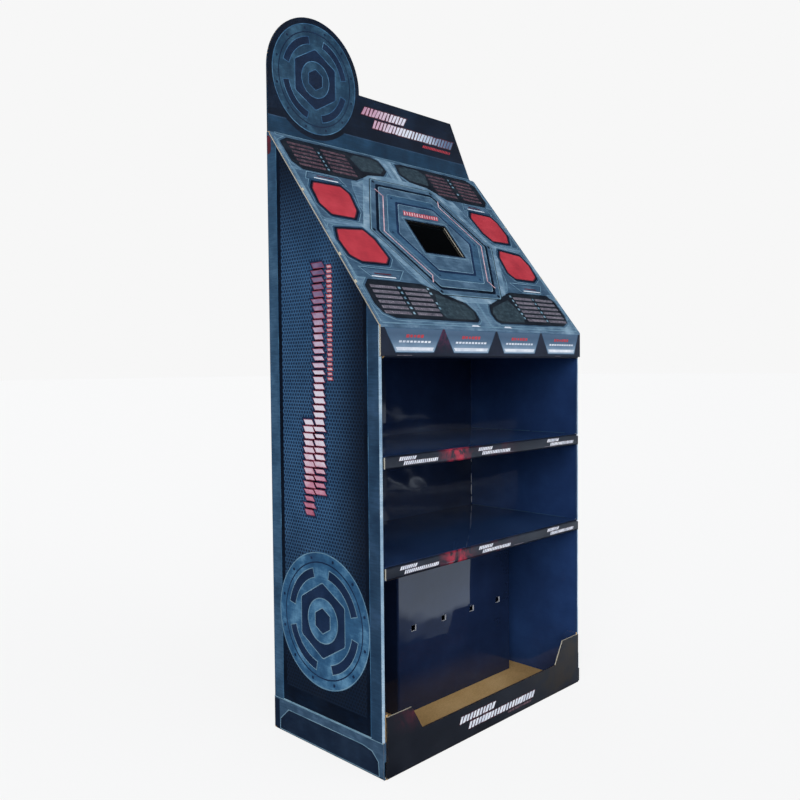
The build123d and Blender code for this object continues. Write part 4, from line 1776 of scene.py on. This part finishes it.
    def cut_edges(self) -> None:
        """Makes the cut edges of the deck's sides, of the fascia's ends and of the window."""
        sheet = Sheet("deck_cut_edges", "deck_board")
        low, high = -BOARD + 0.06, -0.04
        deep, half = self.notch
        notch_ends = [station + d for station in self.notches for d in (-half, half)]
        stations = [self.tangent, *notch_ends, DECK_LENGTH - self.corner]
        for side in (-1, 1):
            flank = Panel(Vector((side * HALF_WIDTH, FRONT, SHOULDER)), DECK_UP, DECK_OUT, side * X_AXIS)
            for start, end in zip(stations[0::2], stations[1::2]):
                sheet.prism(flank, rectangle(start, low, end, -0.9), 0.0, RIM, Finish.CUT)
                sheet.prism(flank, rectangle(start, -0.9, end, high), 0.0, RIM, Finish.STEEL)
                ends = (start + 1.5, end - 1.5)[::side]
                path = [flank.at(v, -1.8, RIM) for v in ends]
                sheet.take(FluteMouths(1.9).grow(path, -DECK_OUT), Finish.MOUTH)
            tip = rectangle(FRONT + 0.06, self.fascia_low, FRONT + BOARD - 0.05, SHOULDER - 3)
            sheet.prism(Face.RIGHT if side > 0 else Face.LEFT, tip, 0.0, RIM, Finish.CUT)
            heights = (SHOULDER - 4, self.fascia_low + 1.5)[::side]
            path = [Vector((side * (HALF_WIDTH + RIM), FRONT + BOARD / 2, z)) * MM for z in heights]
            sheet.take(FluteMouths().grow(path, Y_AXIS), Finish.MOUTH)
        # The window's cut edge is painted black as shade; only a pale strip on its right side shows the cut
        # board
        sheet.prism(Face.DECK, self.opening(), low, high, Finish.BEZEL_AND_EDGE_SHADE, [self.opening(-RIM)])
        edge_u, edge_v = self.window[0] / 2 - RIM, self.window[1] / 2 - 1.6
        pale = rectangle(edge_u - 0.07, self.window_at - edge_v, edge_u + 0.02, self.window_at + edge_v)
        sheet.prism(Face.DECK, pale, -2.7, -0.9, Finish.CUT)
        path = [Face.DECK.value.at(edge_u - 0.07, self.window_at + v, -1.8) for v in (edge_v, -edge_v)]
        sheet.take(FluteMouths(1.9).grow(path, DECK_OUT), Finish.MOUTH)
        sheet.done()

    def build(self) -> None:
        """Builds the deck, its ticks, the fascia and the cut edges, and dresses the hood's own board."""
        self.field()
        self.forms()
        self.fold_and_fascia()
        self.cut_edges()
        dress("deck_hood", Finish.KRAFT)


@dataclass
class HeaderCard:
    """The die-cut card above the deck, with its round arch and slanted end."""

    arch_at: Point = (-183.5, 1259.0)
    arch_radius: float = 116.5
    top: float = 1256.0
    top_end: float = 220.0
    foot_end: float = 290.0

    def outline(self, grow: float = 0.0) -> list[Point]:
        """Gives the shown part of the card, above the body's crown.

        Args:
            grow: how far outwards each edge is moved.

        Returns:
            The card's outline.
        """
        x, z = self.arch_at
        reach = math.sqrt(self.arch_radius**2 - (self.top - z) ** 2)
        start = math.degrees(math.acos(reach / self.arch_radius))
        foot = CROWN + 0.6
        shape = [(x - self.arch_radius, foot), (self.foot_end - 0.3, foot), (self.top_end, self.top)]
        shape += arc(self.arch_at, self.arch_radius, -start, 180, 40)
        return inset(shape, -grow) if grow else shape

    def build(self) -> None:
        """Builds the printed face, the cut edge and the bare back."""
        sheet = Sheet("header_film", "header_board")
        face = Face.HEADER
        sheet.ink(face, self.outline(), 0, Finish.NIGHT)
        left, right, foot, band = -HALF_WIDTH, self.foot_end - 0.5, CROWN + 0.6, 1170.0
        end = self.foot_end - (band - CROWN) * (self.foot_end - self.top_end) / (self.top - CROWN)
        sheet.ink(face, [(left, foot), (right, foot), (end, band), (left, band)], 1, Finish.TEAL)
        trim = [(left, band - 1.6), (end + 0.6, band - 1.6), (end, band), (left, band)]
        sheet.ink(face, trim, 2, Finish.STEEL_DEEP)
        trim = [(left, foot), (right, foot), (right - 1.1, foot + 1.6), (left, foot + 1.6)]
        sheet.ink(face, trim, 2, Finish.STEEL)
        sheet.ink(face, circle(self.arch_at, self.arch_radius - 0.4), 3, Finish.NIGHT)
        badge = Badge(
            self.arch_at, 106.0, Finish.BOSS, Finish.BOSS, Finish.STEEL_NIGHT, Finish.STEEL_BRIGHT
        )
        badge.draw(sheet, face, 4)
        Mark(292, 42, 26, 8).draw(sheet, face.value, (-66, 1195), 4, Finish.BANNER, Finish.RED_DEEP)
        slim = SlantStrip(18, 5.2, (3.2, 5.6), 0.5, (0.25, 0.1), 2)
        sheet.take(slim.grow(face.value, (128, 1187), 4, Finish.RED), Finish.RED)
        sheet.done()
        self.edges()
        dress("header_card", Finish.KRAFT)

    def edges(self) -> None:
        """Makes the card's edge, inked dark all round as the print runs over it."""
        sheet = Sheet("header_cut_edge", "header_board")
        sheet.prism(Face.HEADER, self.outline(RIM), -BOARD + 0.05, -0.05, Finish.TEAL, [self.outline()])
        sheet.done()


@dataclass
class Shelves:
    """Both shelves: gloss film over the panel and the rail, a printed lip, and cut ends."""

    tops: tuple[tuple[float, str], ...] = ((546.0, "upper"), (360.0, "lower"))
    lip: float = 23.5
    rail: float = 26.0
    half: float = 292.4
    rear: float = 145.8
    creases: dict[str, tuple[Point, ...]] = field(
        default_factory=lambda: {"upper": ((12, 60), (166, 212)), "lower": ((62, 92), (-140, -118))}
    )

    def skin(self, top: float) -> list[Point]:
        """Gives the folded film's profile: panel, lip, and the rail's underside.

        Args:
            top: the height of the shelf's board.

        Returns:
            The profile in the plane of Face.PROFILE.
        """
        outer: list[Point] = [(self.rear, top + FILM)]
        inner: list[Point] = [(self.rear, top + GAP)]
        for centre, start in (
            ((FRONT + FOLD, top - FOLD), 90), ((FRONT + FOLD, top - self.lip + FOLD), 180)
        ):
            outer += arc(centre, FOLD + FILM, start, start + 90, 6)
            inner += arc(centre, FOLD + GAP, start, start + 90, 6)
        foot = top - self.lip
        outer.append((FRONT + self.rail - FOLD, foot - FILM))
        inner.append((FRONT + self.rail - FOLD, foot - GAP))
        return outer + list(reversed(inner))

    def build(self) -> None:
        """Builds both shelves' films and dresses their boards."""
        for top, name in self.tops:
            sheet = Sheet(f"{name}_shelf_film", "navy_board")
            sheet.prism(Face.PROFILE, self.skin(top), -self.half, self.half, Finish.NAVY)
            under = rectangle(FRONT + self.rail + 0.2, top - BOARD - 0.12, self.rear - 4, top - BOARD - GAP)
            sheet.prism(Face.PROFILE, under, -285.0, 285.0, Finish.KRAFT)
            sheet.done()
            self.front(top, name)
            self.joints(top, name)
            dress(f"{name}_shelf", Finish.NAVY)

    def joints(self, top: float, name: str) -> None:
        """Makes the pale steel-blue lines where the panel's film meets the right wall.

        Args:
            top: the height of the shelf's board.
            name: the shelf's word in the piece's name.
        """
        sheet = Sheet(f"{name}_shelf_joint_lines", "navy_board")
        foot = top + FILM
        for start, end, high in ((-118, -30, 0.5), (-26, 60, 0.8), (64, self.rear - 3, 0.5)):
            sheet.prism(
                Face.PROFILE, rectangle(start, foot, end, foot + high), self.half - 0.12, self.half,
                Finish.STEEL,
            )
        sheet.done()

    def front(self, top: float, name: str) -> None:
        """Makes the lip's print with its bars, and the cut ends of the rail.

        Args:
            top: the height of the shelf's board.
            name: the shelf's word in the piece's name.
        """
        sheet = Sheet(f"{name}_lip_print", "navy_board")
        outer = [(FRONT - FILM - 0.06, top - self.lip + FOLD)] + [(FRONT - FILM - 0.06, top - FOLD)]
        outer += arc((FRONT + FOLD, top - FOLD), FOLD + FILM + 0.06, 180, 118, 4)
        inner = arc((FRONT + FOLD, top - FOLD), FOLD + 0.1, 118, 180, 4)
        inner += [(FRONT - 0.1, top - FOLD), (FRONT - 0.1, top - self.lip + FOLD)]
        low = (FRONT + FOLD, top - self.lip + FOLD)
        foot = arc(low, FOLD + FILM + 0.06, 250, 180, 4)
        under = arc(low, FOLD + 0.1, 180, 250, 4)
        sheet.prism(Face.PROFILE, foot + outer[1:] + inner[:-1] + under, -self.half, self.half, Finish.LIP)
        panel = Face.FRONT.value
        for left in (-262, -51, 173):
            Mark(101, 14.5, 17, 3).draw(sheet, panel, (left, top - 18.6), 3, Finish.CHALK, Finish.ROSE)
        foot_line = top - self.lip + FOLD + 0.3
        for left, right in self.creases[name]:
            sheet.ink(Face.FRONT, rectangle(left, foot_line, right, foot_line + 0.7), 3, Finish.ASH)
        for side in (-1, 1):
            end = rectangle(FRONT + 0.1, top - self.lip + 2, FRONT + BOARD - 0.1, top - 2.5)
            flank = Panel(Vector((side * 292.5, 0, 0)), Y_AXIS, Z_AXIS, side * X_AXIS)
            sheet.prism(flank, end, 0.0, RIM, Finish.CUT)
        self.worn_corner(sheet, top)
        sheet.done()

    def worn_corner(self, sheet: Sheet, top: float) -> None:
        """Prints the torn white corner of the film at the lip's right end.

        Args:
            sheet: the piece that takes it.
            top: the height of the shelf's board.
        """
        torn = [(286.4, -2.6), (288.1, -0.4), (289.8, -1.3), (292.2, -0.5)]
        torn += [(292.3, -4.9), (290.4, -3.4), (288.6, -4.4)]
        sheet.prism(Face.FRONT, moved(torn, 0, top), GAP, FILM + 0.12, Finish.CHALK)
        chip = [(287.0, -3.4), (292.3, -5.2), (292.3, -3.6), (289.5, -3.2)]
        lid = Panel(Vector((0, 0, top)), X_AXIS, Y_AXIS, Z_AXIS)
        sheet.prism(lid, moved(chip, 0, FRONT + 8.6), GAP, FILM + 0.1, Finish.CHALK)


@dataclass
class BackPanel:
    """The glossy liner behind the bays, with the worn paper line down its corners."""

    face: Panel = field(default_factory=lambda: Panel(Vector((0, 146.15, 0)), X_AXIS, Z_AXIS, -Y_AXIS))
    dull: tuple[tuple[float, float, float], ...] = (
        (556, 612, 0.8), (618, 667, 1.0), (672, 703, 0.7), (440, 456, 0.9)
    )
    bare: tuple[tuple[float, float, float], ...] = (
        (364, 380, 1.6), (383, 409, 2.3), (412, 436, 2.0), (462, 478, 1.5), (484, 519, 2.0), (282, 314, 1.6)
    )

    def build(self) -> None:
        """Builds the rubbed lines where the liner's cut edge meets the side walls."""
        sheet = Sheet("back_liner_worn_edges", "navy_board")
        for side in (-1, 1):
            for runs, finish in ((self.dull, Finish.STEEL_DEEP), (self.bare, Finish.CHALK)):
                for low, high, width in runs:
                    thin, edge, middle = 292.5 - width * 0.65, 292.5, (low + high) / 2
                    strip = [
                        (edge, low), (edge, high), (thin, high - 2), (edge - width, middle), (thin, low + 2)
                    ]
                    sheet.prism(self.face, strip if side > 0 else mirrored(strip), GAP, 0.12, finish)
        sheet.done()
        dress("back_liner", Finish.NAVY_DIM)


@dataclass
class RiserBox:
    """The box behind the bottom bay, with cut edges in its four peg holes."""

    front: float = 3.85
    centre: float = 72.5
    holes: tuple[float, ...] = (-136.5, -45.5, 45.5, 136.5)
    level: float = 171.0
    hole: Point = (14.0, 12.0)

    def build(self) -> None:
        """Builds the holes' cut edges and dresses the box."""
        sheet = Sheet("riser_cut_edges", "navy_board")
        face = Panel(Vector((0, self.front, 0)), X_AXIS, Z_AXIS, -Y_AXIS)
        for offset in self.holes:
            x, half_width, half_height = self.centre + offset, self.hole[0] / 2, self.hole[1] / 2
            box = rectangle(
                x - half_width, self.level - half_height, x + half_width, self.level + half_height
            )
            sheet.prism(face, box, -BOARD + 0.06, -0.04, Finish.CHALK, [inset(box, 0.1)])
        sheet.done()
        dress("riser_box", Finish.NAVY_DIM)


@dataclass
class BaseTray:
    """The tray at the foot: printed lip with two ears, plinth bands round the sides, kraft inside."""

    side: float = 299.5
    rear: float = 151.25
    top: float = 63.7
    lip: float = 62.0
    ear: float = 107.0
    ear_top: float = 233.0
    ear_foot: float = 206.0
    foot: float = 31.0
    foot_half: float = 296.8

    def lip_outline(self, low: float) -> list[Point]:
        """Gives the front lip's outline from a height above the floor.

        Args:
            low: the outline's foot above the floor.

        Returns:
            The outline of both halves.
        """
        right = [(self.foot_half, low), (self.foot_half, self.foot), (INNER_HALF, self.foot)]
        right += [(INNER_HALF, self.ear), (self.ear_top, self.ear), (self.ear_foot, self.lip)]
        return right + mirrored(right)

    def front(self) -> None:
        """Makes the lip's film with its bars, and the fold at the floor."""
        sheet = Sheet("tray_front_film", "tray_board")
        sheet.ink(Face.FRONT, self.lip_outline(FOLD), 0, Finish.TRAY)
        low = (FRONT + FOLD, FOLD)
        strip = arc(low, FOLD + 0.12, 180, 268, 6) + arc(low, FOLD + GAP, 268, 180, 6)
        sheet.prism(Face.PROFILE, strip, -293.4, 293.4, Finish.TRAY)
        panel = Face.FRONT.value
        Mark(240, 30, 22, 5).draw(sheet, panel, (-112, 18), 2, Finish.CHALK, Finish.RED_DEEP)
        slim = SlantStrip(15, 5.2, (3.2, 3.8), 0.5, (0.25, 0.1), 2)
        sheet.take(slim.grow(panel, (42, 13.5), 2, Finish.ROSE), Finish.ROSE)
        sheet.done()

    def sides(self) -> None:
        """Makes the side and rear walls' films with their band, leg and outlined panel."""
        sheet = Sheet("plinth_film", "tray_board")
        field_shape = [(134, FOLD), (133, 24), (108, 47), (-97, 47), (-121, 43), (-136, 29), (-138, FOLD)]
        for sign in (-1, 1):
            face = Panel(Vector((sign * self.side, 0, 0)), Y_AXIS, Z_AXIS, sign * X_AXIS)
            sheet.ink(face, rectangle(HEM, FOLD, self.rear - 0.1, self.top), 0, Finish.PLINTH_PALE)
            sheet.ink(face, rectangle(136, FOLD, self.rear - 0.1, self.top - 4), 1, Finish.PLINTH)
            sheet.ink(face, field_shape, 2, Finish.PLINTH)
            sheet.line(face, inset(field_shape, -0.6), 1.3, 3, Finish.STEEL_PALE)
            sheet.ink(
                face, rectangle(HEM, self.top - 1.4, self.rear - 0.1, self.top - 0.2), 3, Finish.STEEL_PALE
            )
            low = (sign * (self.side - FOLD), FOLD)
            start, end = (272, 360) if sign > 0 else (180, 268)
            outer, inner = arc(low, FOLD + 0.12, start, end, 6), arc(low, FOLD + GAP, end, start, 6)
            across = Panel(Vector((0, 0, 0)), X_AXIS, Z_AXIS, -Y_AXIS)
            sheet.prism(across, outer + inner, -(self.rear - FOLD), -HEM, Finish.PLINTH)
        back = Panel(Vector((0, self.rear, 0)), X_AXIS, Z_AXIS, Y_AXIS)
        half = 293.4
        sheet.ink(back, rectangle(-half, FOLD, half, self.top), 0, Finish.PLINTH)
        sheet.ink(back, rectangle(-half, self.top - 14, half, self.top), 1, Finish.PLINTH_PALE)
        low = (self.rear - FOLD, FOLD)
        strip = arc(low, FOLD + 0.12, 272, 360, 6) + arc(low, FOLD + GAP, 360, 272, 6)
        sheet.prism(Face.PROFILE, strip, -half, half, Finish.PLINTH)
        sheet.done()

    def cut_edges(self) -> None:
        """Makes the lip's cut edge and the cut ends of the feet and side walls."""
        sheet = Sheet("tray_cut_edges", "tray_board")
        outline = self.lip_outline(6.0)
        sheet.prism(Face.FRONT, inset(outline, -RIM), -BOARD + 0.05, -0.05, Finish.TRAY, [outline])
        panel = Face.FRONT.value
        run, climb = self.ear_top - self.ear_foot, self.ear - self.lip
        thick = 2 * RIM / math.hypot(run, climb)
        for sign in (-1, 1):
            ear = rectangle(self.ear_top, self.ear, INNER_HALF, self.ear + 2 * RIM)
            slant = [(self.ear_foot, self.lip), (self.ear_top, self.ear)]
            slant += [(u - climb * thick, v + run * thick) for u, v in reversed(slant)]
            for shape in (ear, slant):
                sheet.prism(Face.FRONT, shape if sign > 0 else mirrored(shape), -2.9, -0.7, Finish.CUT)
            ends = (self.ear_top + 1, INNER_HALF - 2) if sign > 0 else (-INNER_HALF + 2, -self.ear_top - 1)
            path = [panel.at(u, self.ear + 2 * RIM, -1.8) for u in ends]
            sheet.take(FluteMouths(2.0).grow(path, Y_AXIS), Finish.MOUTH)
            wall = rectangle(INNER_HALF + 0.3, 0.6, self.side - 0.1, self.top - 0.2)
            hem = Panel(Vector((0, HEM, 0)), X_AXIS, Z_AXIS, -Y_AXIS)
            sheet.prism(hem, wall if sign > 0 else mirrored(wall), 0.0, RIM, Finish.PLINTH_PALE)
            foot = Panel(Vector((sign * self.foot_half, 0, 0)), Y_AXIS, Z_AXIS, sign * X_AXIS)
            sheet.prism(
                foot, rectangle(FRONT + 0.8, FOLD, FRONT + 2.4, self.foot - 0.2), 0.0, RIM, Finish.CUT
            )
        sheet.done()

    def flaps(self) -> None:
        """Makes the navy film on the glue flaps that turn back from the ears."""
        sheet = Sheet("tray_flap_film", "tray_board")
        back, high, cut = FRONT + BOARD + 34.0, 111.0, 12.0
        shape = [(HEM, 4.0), (back, 4.0), (back, high - cut), (back - cut, high), (HEM, high)]
        for sign in (-1, 1):
            face = Panel(Vector((sign * 289.3, 0, 0)), Y_AXIS, Z_AXIS, -sign * X_AXIS)
            sheet.ink(face, inset(shape, 0.05), 0, Finish.NAVY_FLAP)
            sheet.prism(face, inset(shape, -0.08), -BOARD + 0.1, 0.0, Finish.NAVY_FLAP, [shape])
        sheet.done()

    def build(self) -> None:
        """Builds the tray's films and cut edges and dresses its board."""
        self.front()
        self.sides()
        self.cut_edges()
        self.flaps()
        dress("base_tray", Finish.KRAFT)


@dataclass
class ScreenPlayer:
    """The sealed player behind the window: black bezel and dark glass."""

    half: Point = (57.0, 42.5)
    at: float = 238.0
    depth: float = BOARD + 0.3 + 1.2

    def build(self) -> None:
        """Builds the glass in the bezel's recess and dresses the player and its cradle."""
        sheet = Sheet("screen_glass", "black_plastic")
        width, height = self.half
        pane = inset(rectangle(-width, self.at - height, width, self.at + height), 0.3)
        pane = rounded(pane, 1.2, 3)
        sheet.prism(Face.DECK, pane, -self.depth + 0.02, -self.depth + 0.7, Finish.SCREEN)
        sheet.done()
        dress("screen_player", Finish.BEZEL_AND_EDGE_SHADE)
        dress("screen_cradle", Finish.KRAFT)


@dataclass
class Studio:
    """Pale floor, soft daylight and the camera."""

    eye: tuple[float, float, float] = (-1.23373, -1.11191, 0.69303)
    yaw: float = 45.518
    pitch: float = 2.2922
    roll: float = -0.510
    focal: float = 816.52
    paper: str = "#f7f7f7"
    room: float = 0.56
    mirror_room: float = 0.024
    strip_strength: float = 2.0
    pane_strength: float = 48.0
    # A direction's dot product with this is its run from the place on the horizon where the room's lines meet
    fan: tuple[float, float, float] = (-1.0482, 0.3723, 0.0)
    sway: float = 0.03
    # Rise of a mirrored ray over that run, against the brightness of the lines and hazes there
    edges: tuple[Point, ...] = (
        (0.0, 0.0), (0.12, 0.0), (0.125, 1.0), (0.129, 1.0), (0.134, 0.04), (0.147, 0.06), (0.156, 0.36),
        (0.176, 0.36), (0.19, 0.08), (0.25, 0.03), (0.286, 0.02), (0.291, 0.8), (0.295, 0.8), (0.302, 0.06),
        (0.312, 0.26), (0.345, 0.26), (0.372, 0.1), (0.42, 0.04), (0.5, 0.0),
    )
    # Height of a mirrored ray, from 0.34 below the horizon to 0.34 above, against the room's brightness there
    strips: tuple[Point, ...] = (
        (0.025, 0.0), (0.035, 0.2), (0.065, 0.24), (0.085, 1.0), (0.19, 0.85), (0.25, 0.4), (0.31, 0.12),
        (0.37, 0.1), (0.395, 0.7), (0.415, 0.6), (0.435, 0.03), (0.58, 0.0), (0.6, 0.6), (0.632, 0.6),
        (0.65, 0.0), (0.705, 0.0), (0.72, 0.9), (0.772, 0.9), (0.794, 0.0),
    )

    def floor(self) -> None:
        """Lays the pale floor out to the horizon."""
        mesh = bpy.data.meshes.new("floor")
        reach = 60.0
        corners = [(-reach, -reach, 0), (reach, -reach, 0), (reach, reach, 0), (-reach, reach, 0)]
        mesh.from_pydata([Vector(c) - Z_AXIS * 0.0002 for c in corners], [], [(0, 1, 2, 3)])
        material = bpy.data.materials.new("pale_studio_floor")
        material.use_nodes = True
        tree = material.node_tree
        tree.nodes.clear()
        matt = add_node(
            tree, "ShaderNodeBsdfDiffuse", inputs={"Color": linear("#f0f0f0"), "Roughness": 0.6}
        )
        lit = add_node(tree, "ShaderNodeEmission", inputs={"Color": linear(self.paper), "Strength": 1.03})
        both = add_node(tree, "ShaderNodeMixShader", inputs={0: 0.87, 1: matt, 2: lit})
        add_node(tree, "ShaderNodeOutputMaterial", inputs={"Surface": both})
        mesh.materials.append(material)
        floor = bpy.data.objects.new("floor", mesh)
        # The print's gloss mirrors the room, not the white sweep under the stand
        floor.visible_glossy = False
        floor.visible_diffuse = False
        bpy.context.scene.collection.objects.link(floor)

    def sky(self) -> None:
        """Sets the surroundings: the camera sees pale paper, and the stand a dimmer room."""
        world = bpy.data.worlds.new("studio")
        bpy.context.scene.world = world
        world.use_nodes = True
        tree = world.node_tree
        tree.nodes.clear()
        path = add_node(tree, "ShaderNodeLightPath")
        seen = add_node(tree, "ShaderNodeBackground", inputs={"Color": linear(self.paper), "Strength": 1.0})
        room = add_node(
            tree, "ShaderNodeBackground", inputs={"Color": linear("#e6edf6"), "Strength": self.room}
        )
        mirrored_room = add_node(
            tree, "ShaderNodeBackground",
            inputs={"Color": linear("#cfdbe8"), "Strength": self.reflections(tree)},
        )
        unseen = add_node(
            tree, "ShaderNodeMixShader",
            inputs={0: path.outputs["Is Glossy Ray"], 1: room, 2: mirrored_room},
        )
        both = add_node(
            tree, "ShaderNodeMixShader", inputs={0: path.outputs["Is Camera Ray"], 1: unseen, 2: seen}
        )
        add_node(tree, "ShaderNodeOutputWorld", inputs={"Surface": both})

    def reflections(self, tree: Tree) -> Socket:
        """Gives how bright the room is in a mirror: dim, with pale strips low down on the right.

        Args:
            tree: the world's tree.

        Returns:
            The socket of the mirrored room's brightness.
        """
        place = add_node(tree, "ShaderNodeTexCoord").outputs["Generated"]
        parts = add_node(tree, "ShaderNodeSeparateXYZ", inputs={0: place})
        clutter = add_node(
            tree, "ShaderNodeTexNoise", inputs={"Vector": place, "Scale": 16.0, "Detail": 3.0}
        )
        ragged = add_node(
            tree, "ShaderNodeMath", {"operation": "MULTIPLY_ADD"},
            {0: clutter, 1: 0.045, 2: parts.outputs["Z"]},
        )
        height = add_node(
            tree, "ShaderNodeMapRange", inputs={"Value": ragged, "From Min": -0.3175, "From Max": 0.3625}
        )
        ramp = add_node(tree, "ShaderNodeValToRGB", inputs={"Fac": height})
        pale = set_stops(ramp, [(level, (bright, bright, bright, 1.0)) for level, bright in self.strips])
        side = span(tree, parts.outputs["X"], 0.1, 0.4)
        right = add_node(tree, "ShaderNodeMath", {"operation": "MULTIPLY"}, {0: pale, 1: side})
        whole = add_node(
            tree, "ShaderNodeMath", {"operation": "MULTIPLY_ADD"},
            {0: right, 1: self.strip_strength, 2: self.mirror_room},
        )
        both = add_node(
            tree, "ShaderNodeMath", {"operation": "MULTIPLY_ADD"},
            {0: self.panes(tree, place), 1: self.pane_strength, 2: whole},
        )
        return both.outputs[0]

    def panes(self, tree: Tree, place: Socket) -> Socket:
        """Gives the bright lines and hazes behind the camera, which only the bays' corners mirror.

        They fan out from one place on the horizon, as level edges of a room do.

        Args:
            tree: the world's tree.
            place: the mirrored ray's direction.

        Returns:
            The socket of their brightness, 0 to 1.
        """
        wander = add_node(tree, "ShaderNodeTexNoise", inputs={"Vector": place, "Scale": 9.0, "Detail": 2.0})
        torn = add_node(tree, "ShaderNodeTexNoise", inputs={"Vector": place, "Scale": 26.0, "Detail": 4.0})
        broken = add_node(
            tree, "ShaderNodeMapRange",
            inputs={"Value": torn, "From Min": 0.38, "From Max": 0.6, "To Min": 0.2},
        )
        parts = add_node(tree, "ShaderNodeSeparateXYZ", inputs={0: place})
        rise = add_node(tree, "ShaderNodeMath", {"operation": "ABSOLUTE"}, {0: parts.outputs["Z"]})
        run = add_node(tree, "ShaderNodeVectorMath", {"operation": "DOT_PRODUCT"}, {0: place, 1: self.fan})
        slope = add_node(
            tree, "ShaderNodeMath", {"operation": "DIVIDE"}, {0: rise, 1: run.outputs["Value"]}
        )
        bent = add_node(
            tree, "ShaderNodeMath", {"operation": "MULTIPLY_ADD"}, {0: wander, 1: self.sway, 2: slope}
        )
        # The noise lies round a half, so half the sway is taken off again
        least, steepest = self.sway / 2, self.edges[-1][0]
        level = add_node(
            tree, "ShaderNodeMapRange",
            inputs={"Value": bent, "From Min": least, "From Max": least + steepest},
        )
        ramp = add_node(tree, "ShaderNodeValToRGB", inputs={"Fac": level})
        total = set_stops(
            ramp, [(share / steepest, (bright, bright, bright, 1.0)) for share, bright in self.edges]
        )
        yaw = math.radians(self.yaw)
        left = (-math.cos(yaw), math.sin(yaw), 0.0)
        aside = add_node(tree, "ShaderNodeVectorMath", {"operation": "DOT_PRODUCT"}, {0: place, 1: left})
        for share in (
            span(tree, parts.outputs["X"], -0.4, -0.5), span(tree, parts.outputs["Y"], -0.5, -0.56),
            span(tree, aside.outputs["Value"], 0.15, 0.02), broken.outputs["Result"],
        ):
            both = add_node(tree, "ShaderNodeMath", {"operation": "MULTIPLY"}, {0: total, 1: share})
            total = both.outputs[0]
        return total

    def lamp(
        self, name: str, towards: tuple[float, float, float], strength: float, spread: float,
        mirrored_too: bool,
    ) -> None:
        """Hangs one soft far light.

        Args:
            name: its name.
            towards: the direction its light travels.
            strength: how strong it is.
            spread: how wide it looks from the stand, in degrees.
            mirrored_too: gloss shows it as a highlight.
        """
        data = bpy.data.lights.new(name, "SUN")
        data.energy = strength
        data.angle = math.radians(spread)
        lamp = bpy.data.objects.new(name, data)
        lamp.rotation_mode = "QUATERNION"
        lamp.rotation_quaternion = Vector(towards).to_track_quat("-Z", "Y")
        lamp.visible_glossy = mirrored_too
        bpy.context.scene.collection.objects.link(lamp)

    def camera(self) -> None:
        """Sets the camera where the photograph was taken."""
        yaw, pitch, roll = (math.radians(a) for a in (self.yaw, self.pitch, self.roll))
        forward = Vector(
            (math.sin(yaw) * math.cos(pitch), math.cos(yaw) * math.cos(pitch), -math.sin(pitch))
        )
        right = Vector((math.cos(yaw), -math.sin(yaw), 0))
        up = right.cross(forward)
        right, up = right * math.cos(roll) + up * math.sin(roll), up * math.cos(roll) - right * math.sin(roll)
        data = bpy.data.cameras.new("camera")
        data.sensor_width = 36.0
        data.lens = 36.0 * self.focal / 800
        data.clip_start, data.clip_end = 0.05, 200.0
        camera = bpy.data.objects.new("camera", data)
        aim = Matrix((right, up, -forward)).transposed().to_4x4()
        camera.matrix_world = Matrix.Translation(Vector(self.eye)) @ aim
        bpy.context.scene.collection.objects.link(camera)
        bpy.context.scene.camera = camera

    def build(self) -> None:
        """Builds the whole studio."""
        bpy.context.scene.view_settings.view_transform = "Standard"
        self.floor()
        self.sky()
        self.lamp("key_light", (0.62, 0.55, -0.42), 1.5, 50, True)
        self.lamp("fill_light", (-0.35, 0.85, -0.3), 0.9, 60, False)
        self.camera()


def main() -> None:
    """Builds the stand from the top down, then the studio, and logs each part as it is built."""
    logging.basicConfig(level=logging.INFO, format="%(name)s: %(message)s")
    upper = (HeaderCard(), SlopingDeck(), ScreenPlayer(), SideWalls())
    lower = (BackPanel(), Shelves(), RiserBox(), BaseTray())
    for assembly in upper + lower:
        assembly.build()
        LOG.info("%s built", type(assembly).__name__)
    Studio().build()
    LOG.info("studio built")


if __name__ == "__main__":
    main()
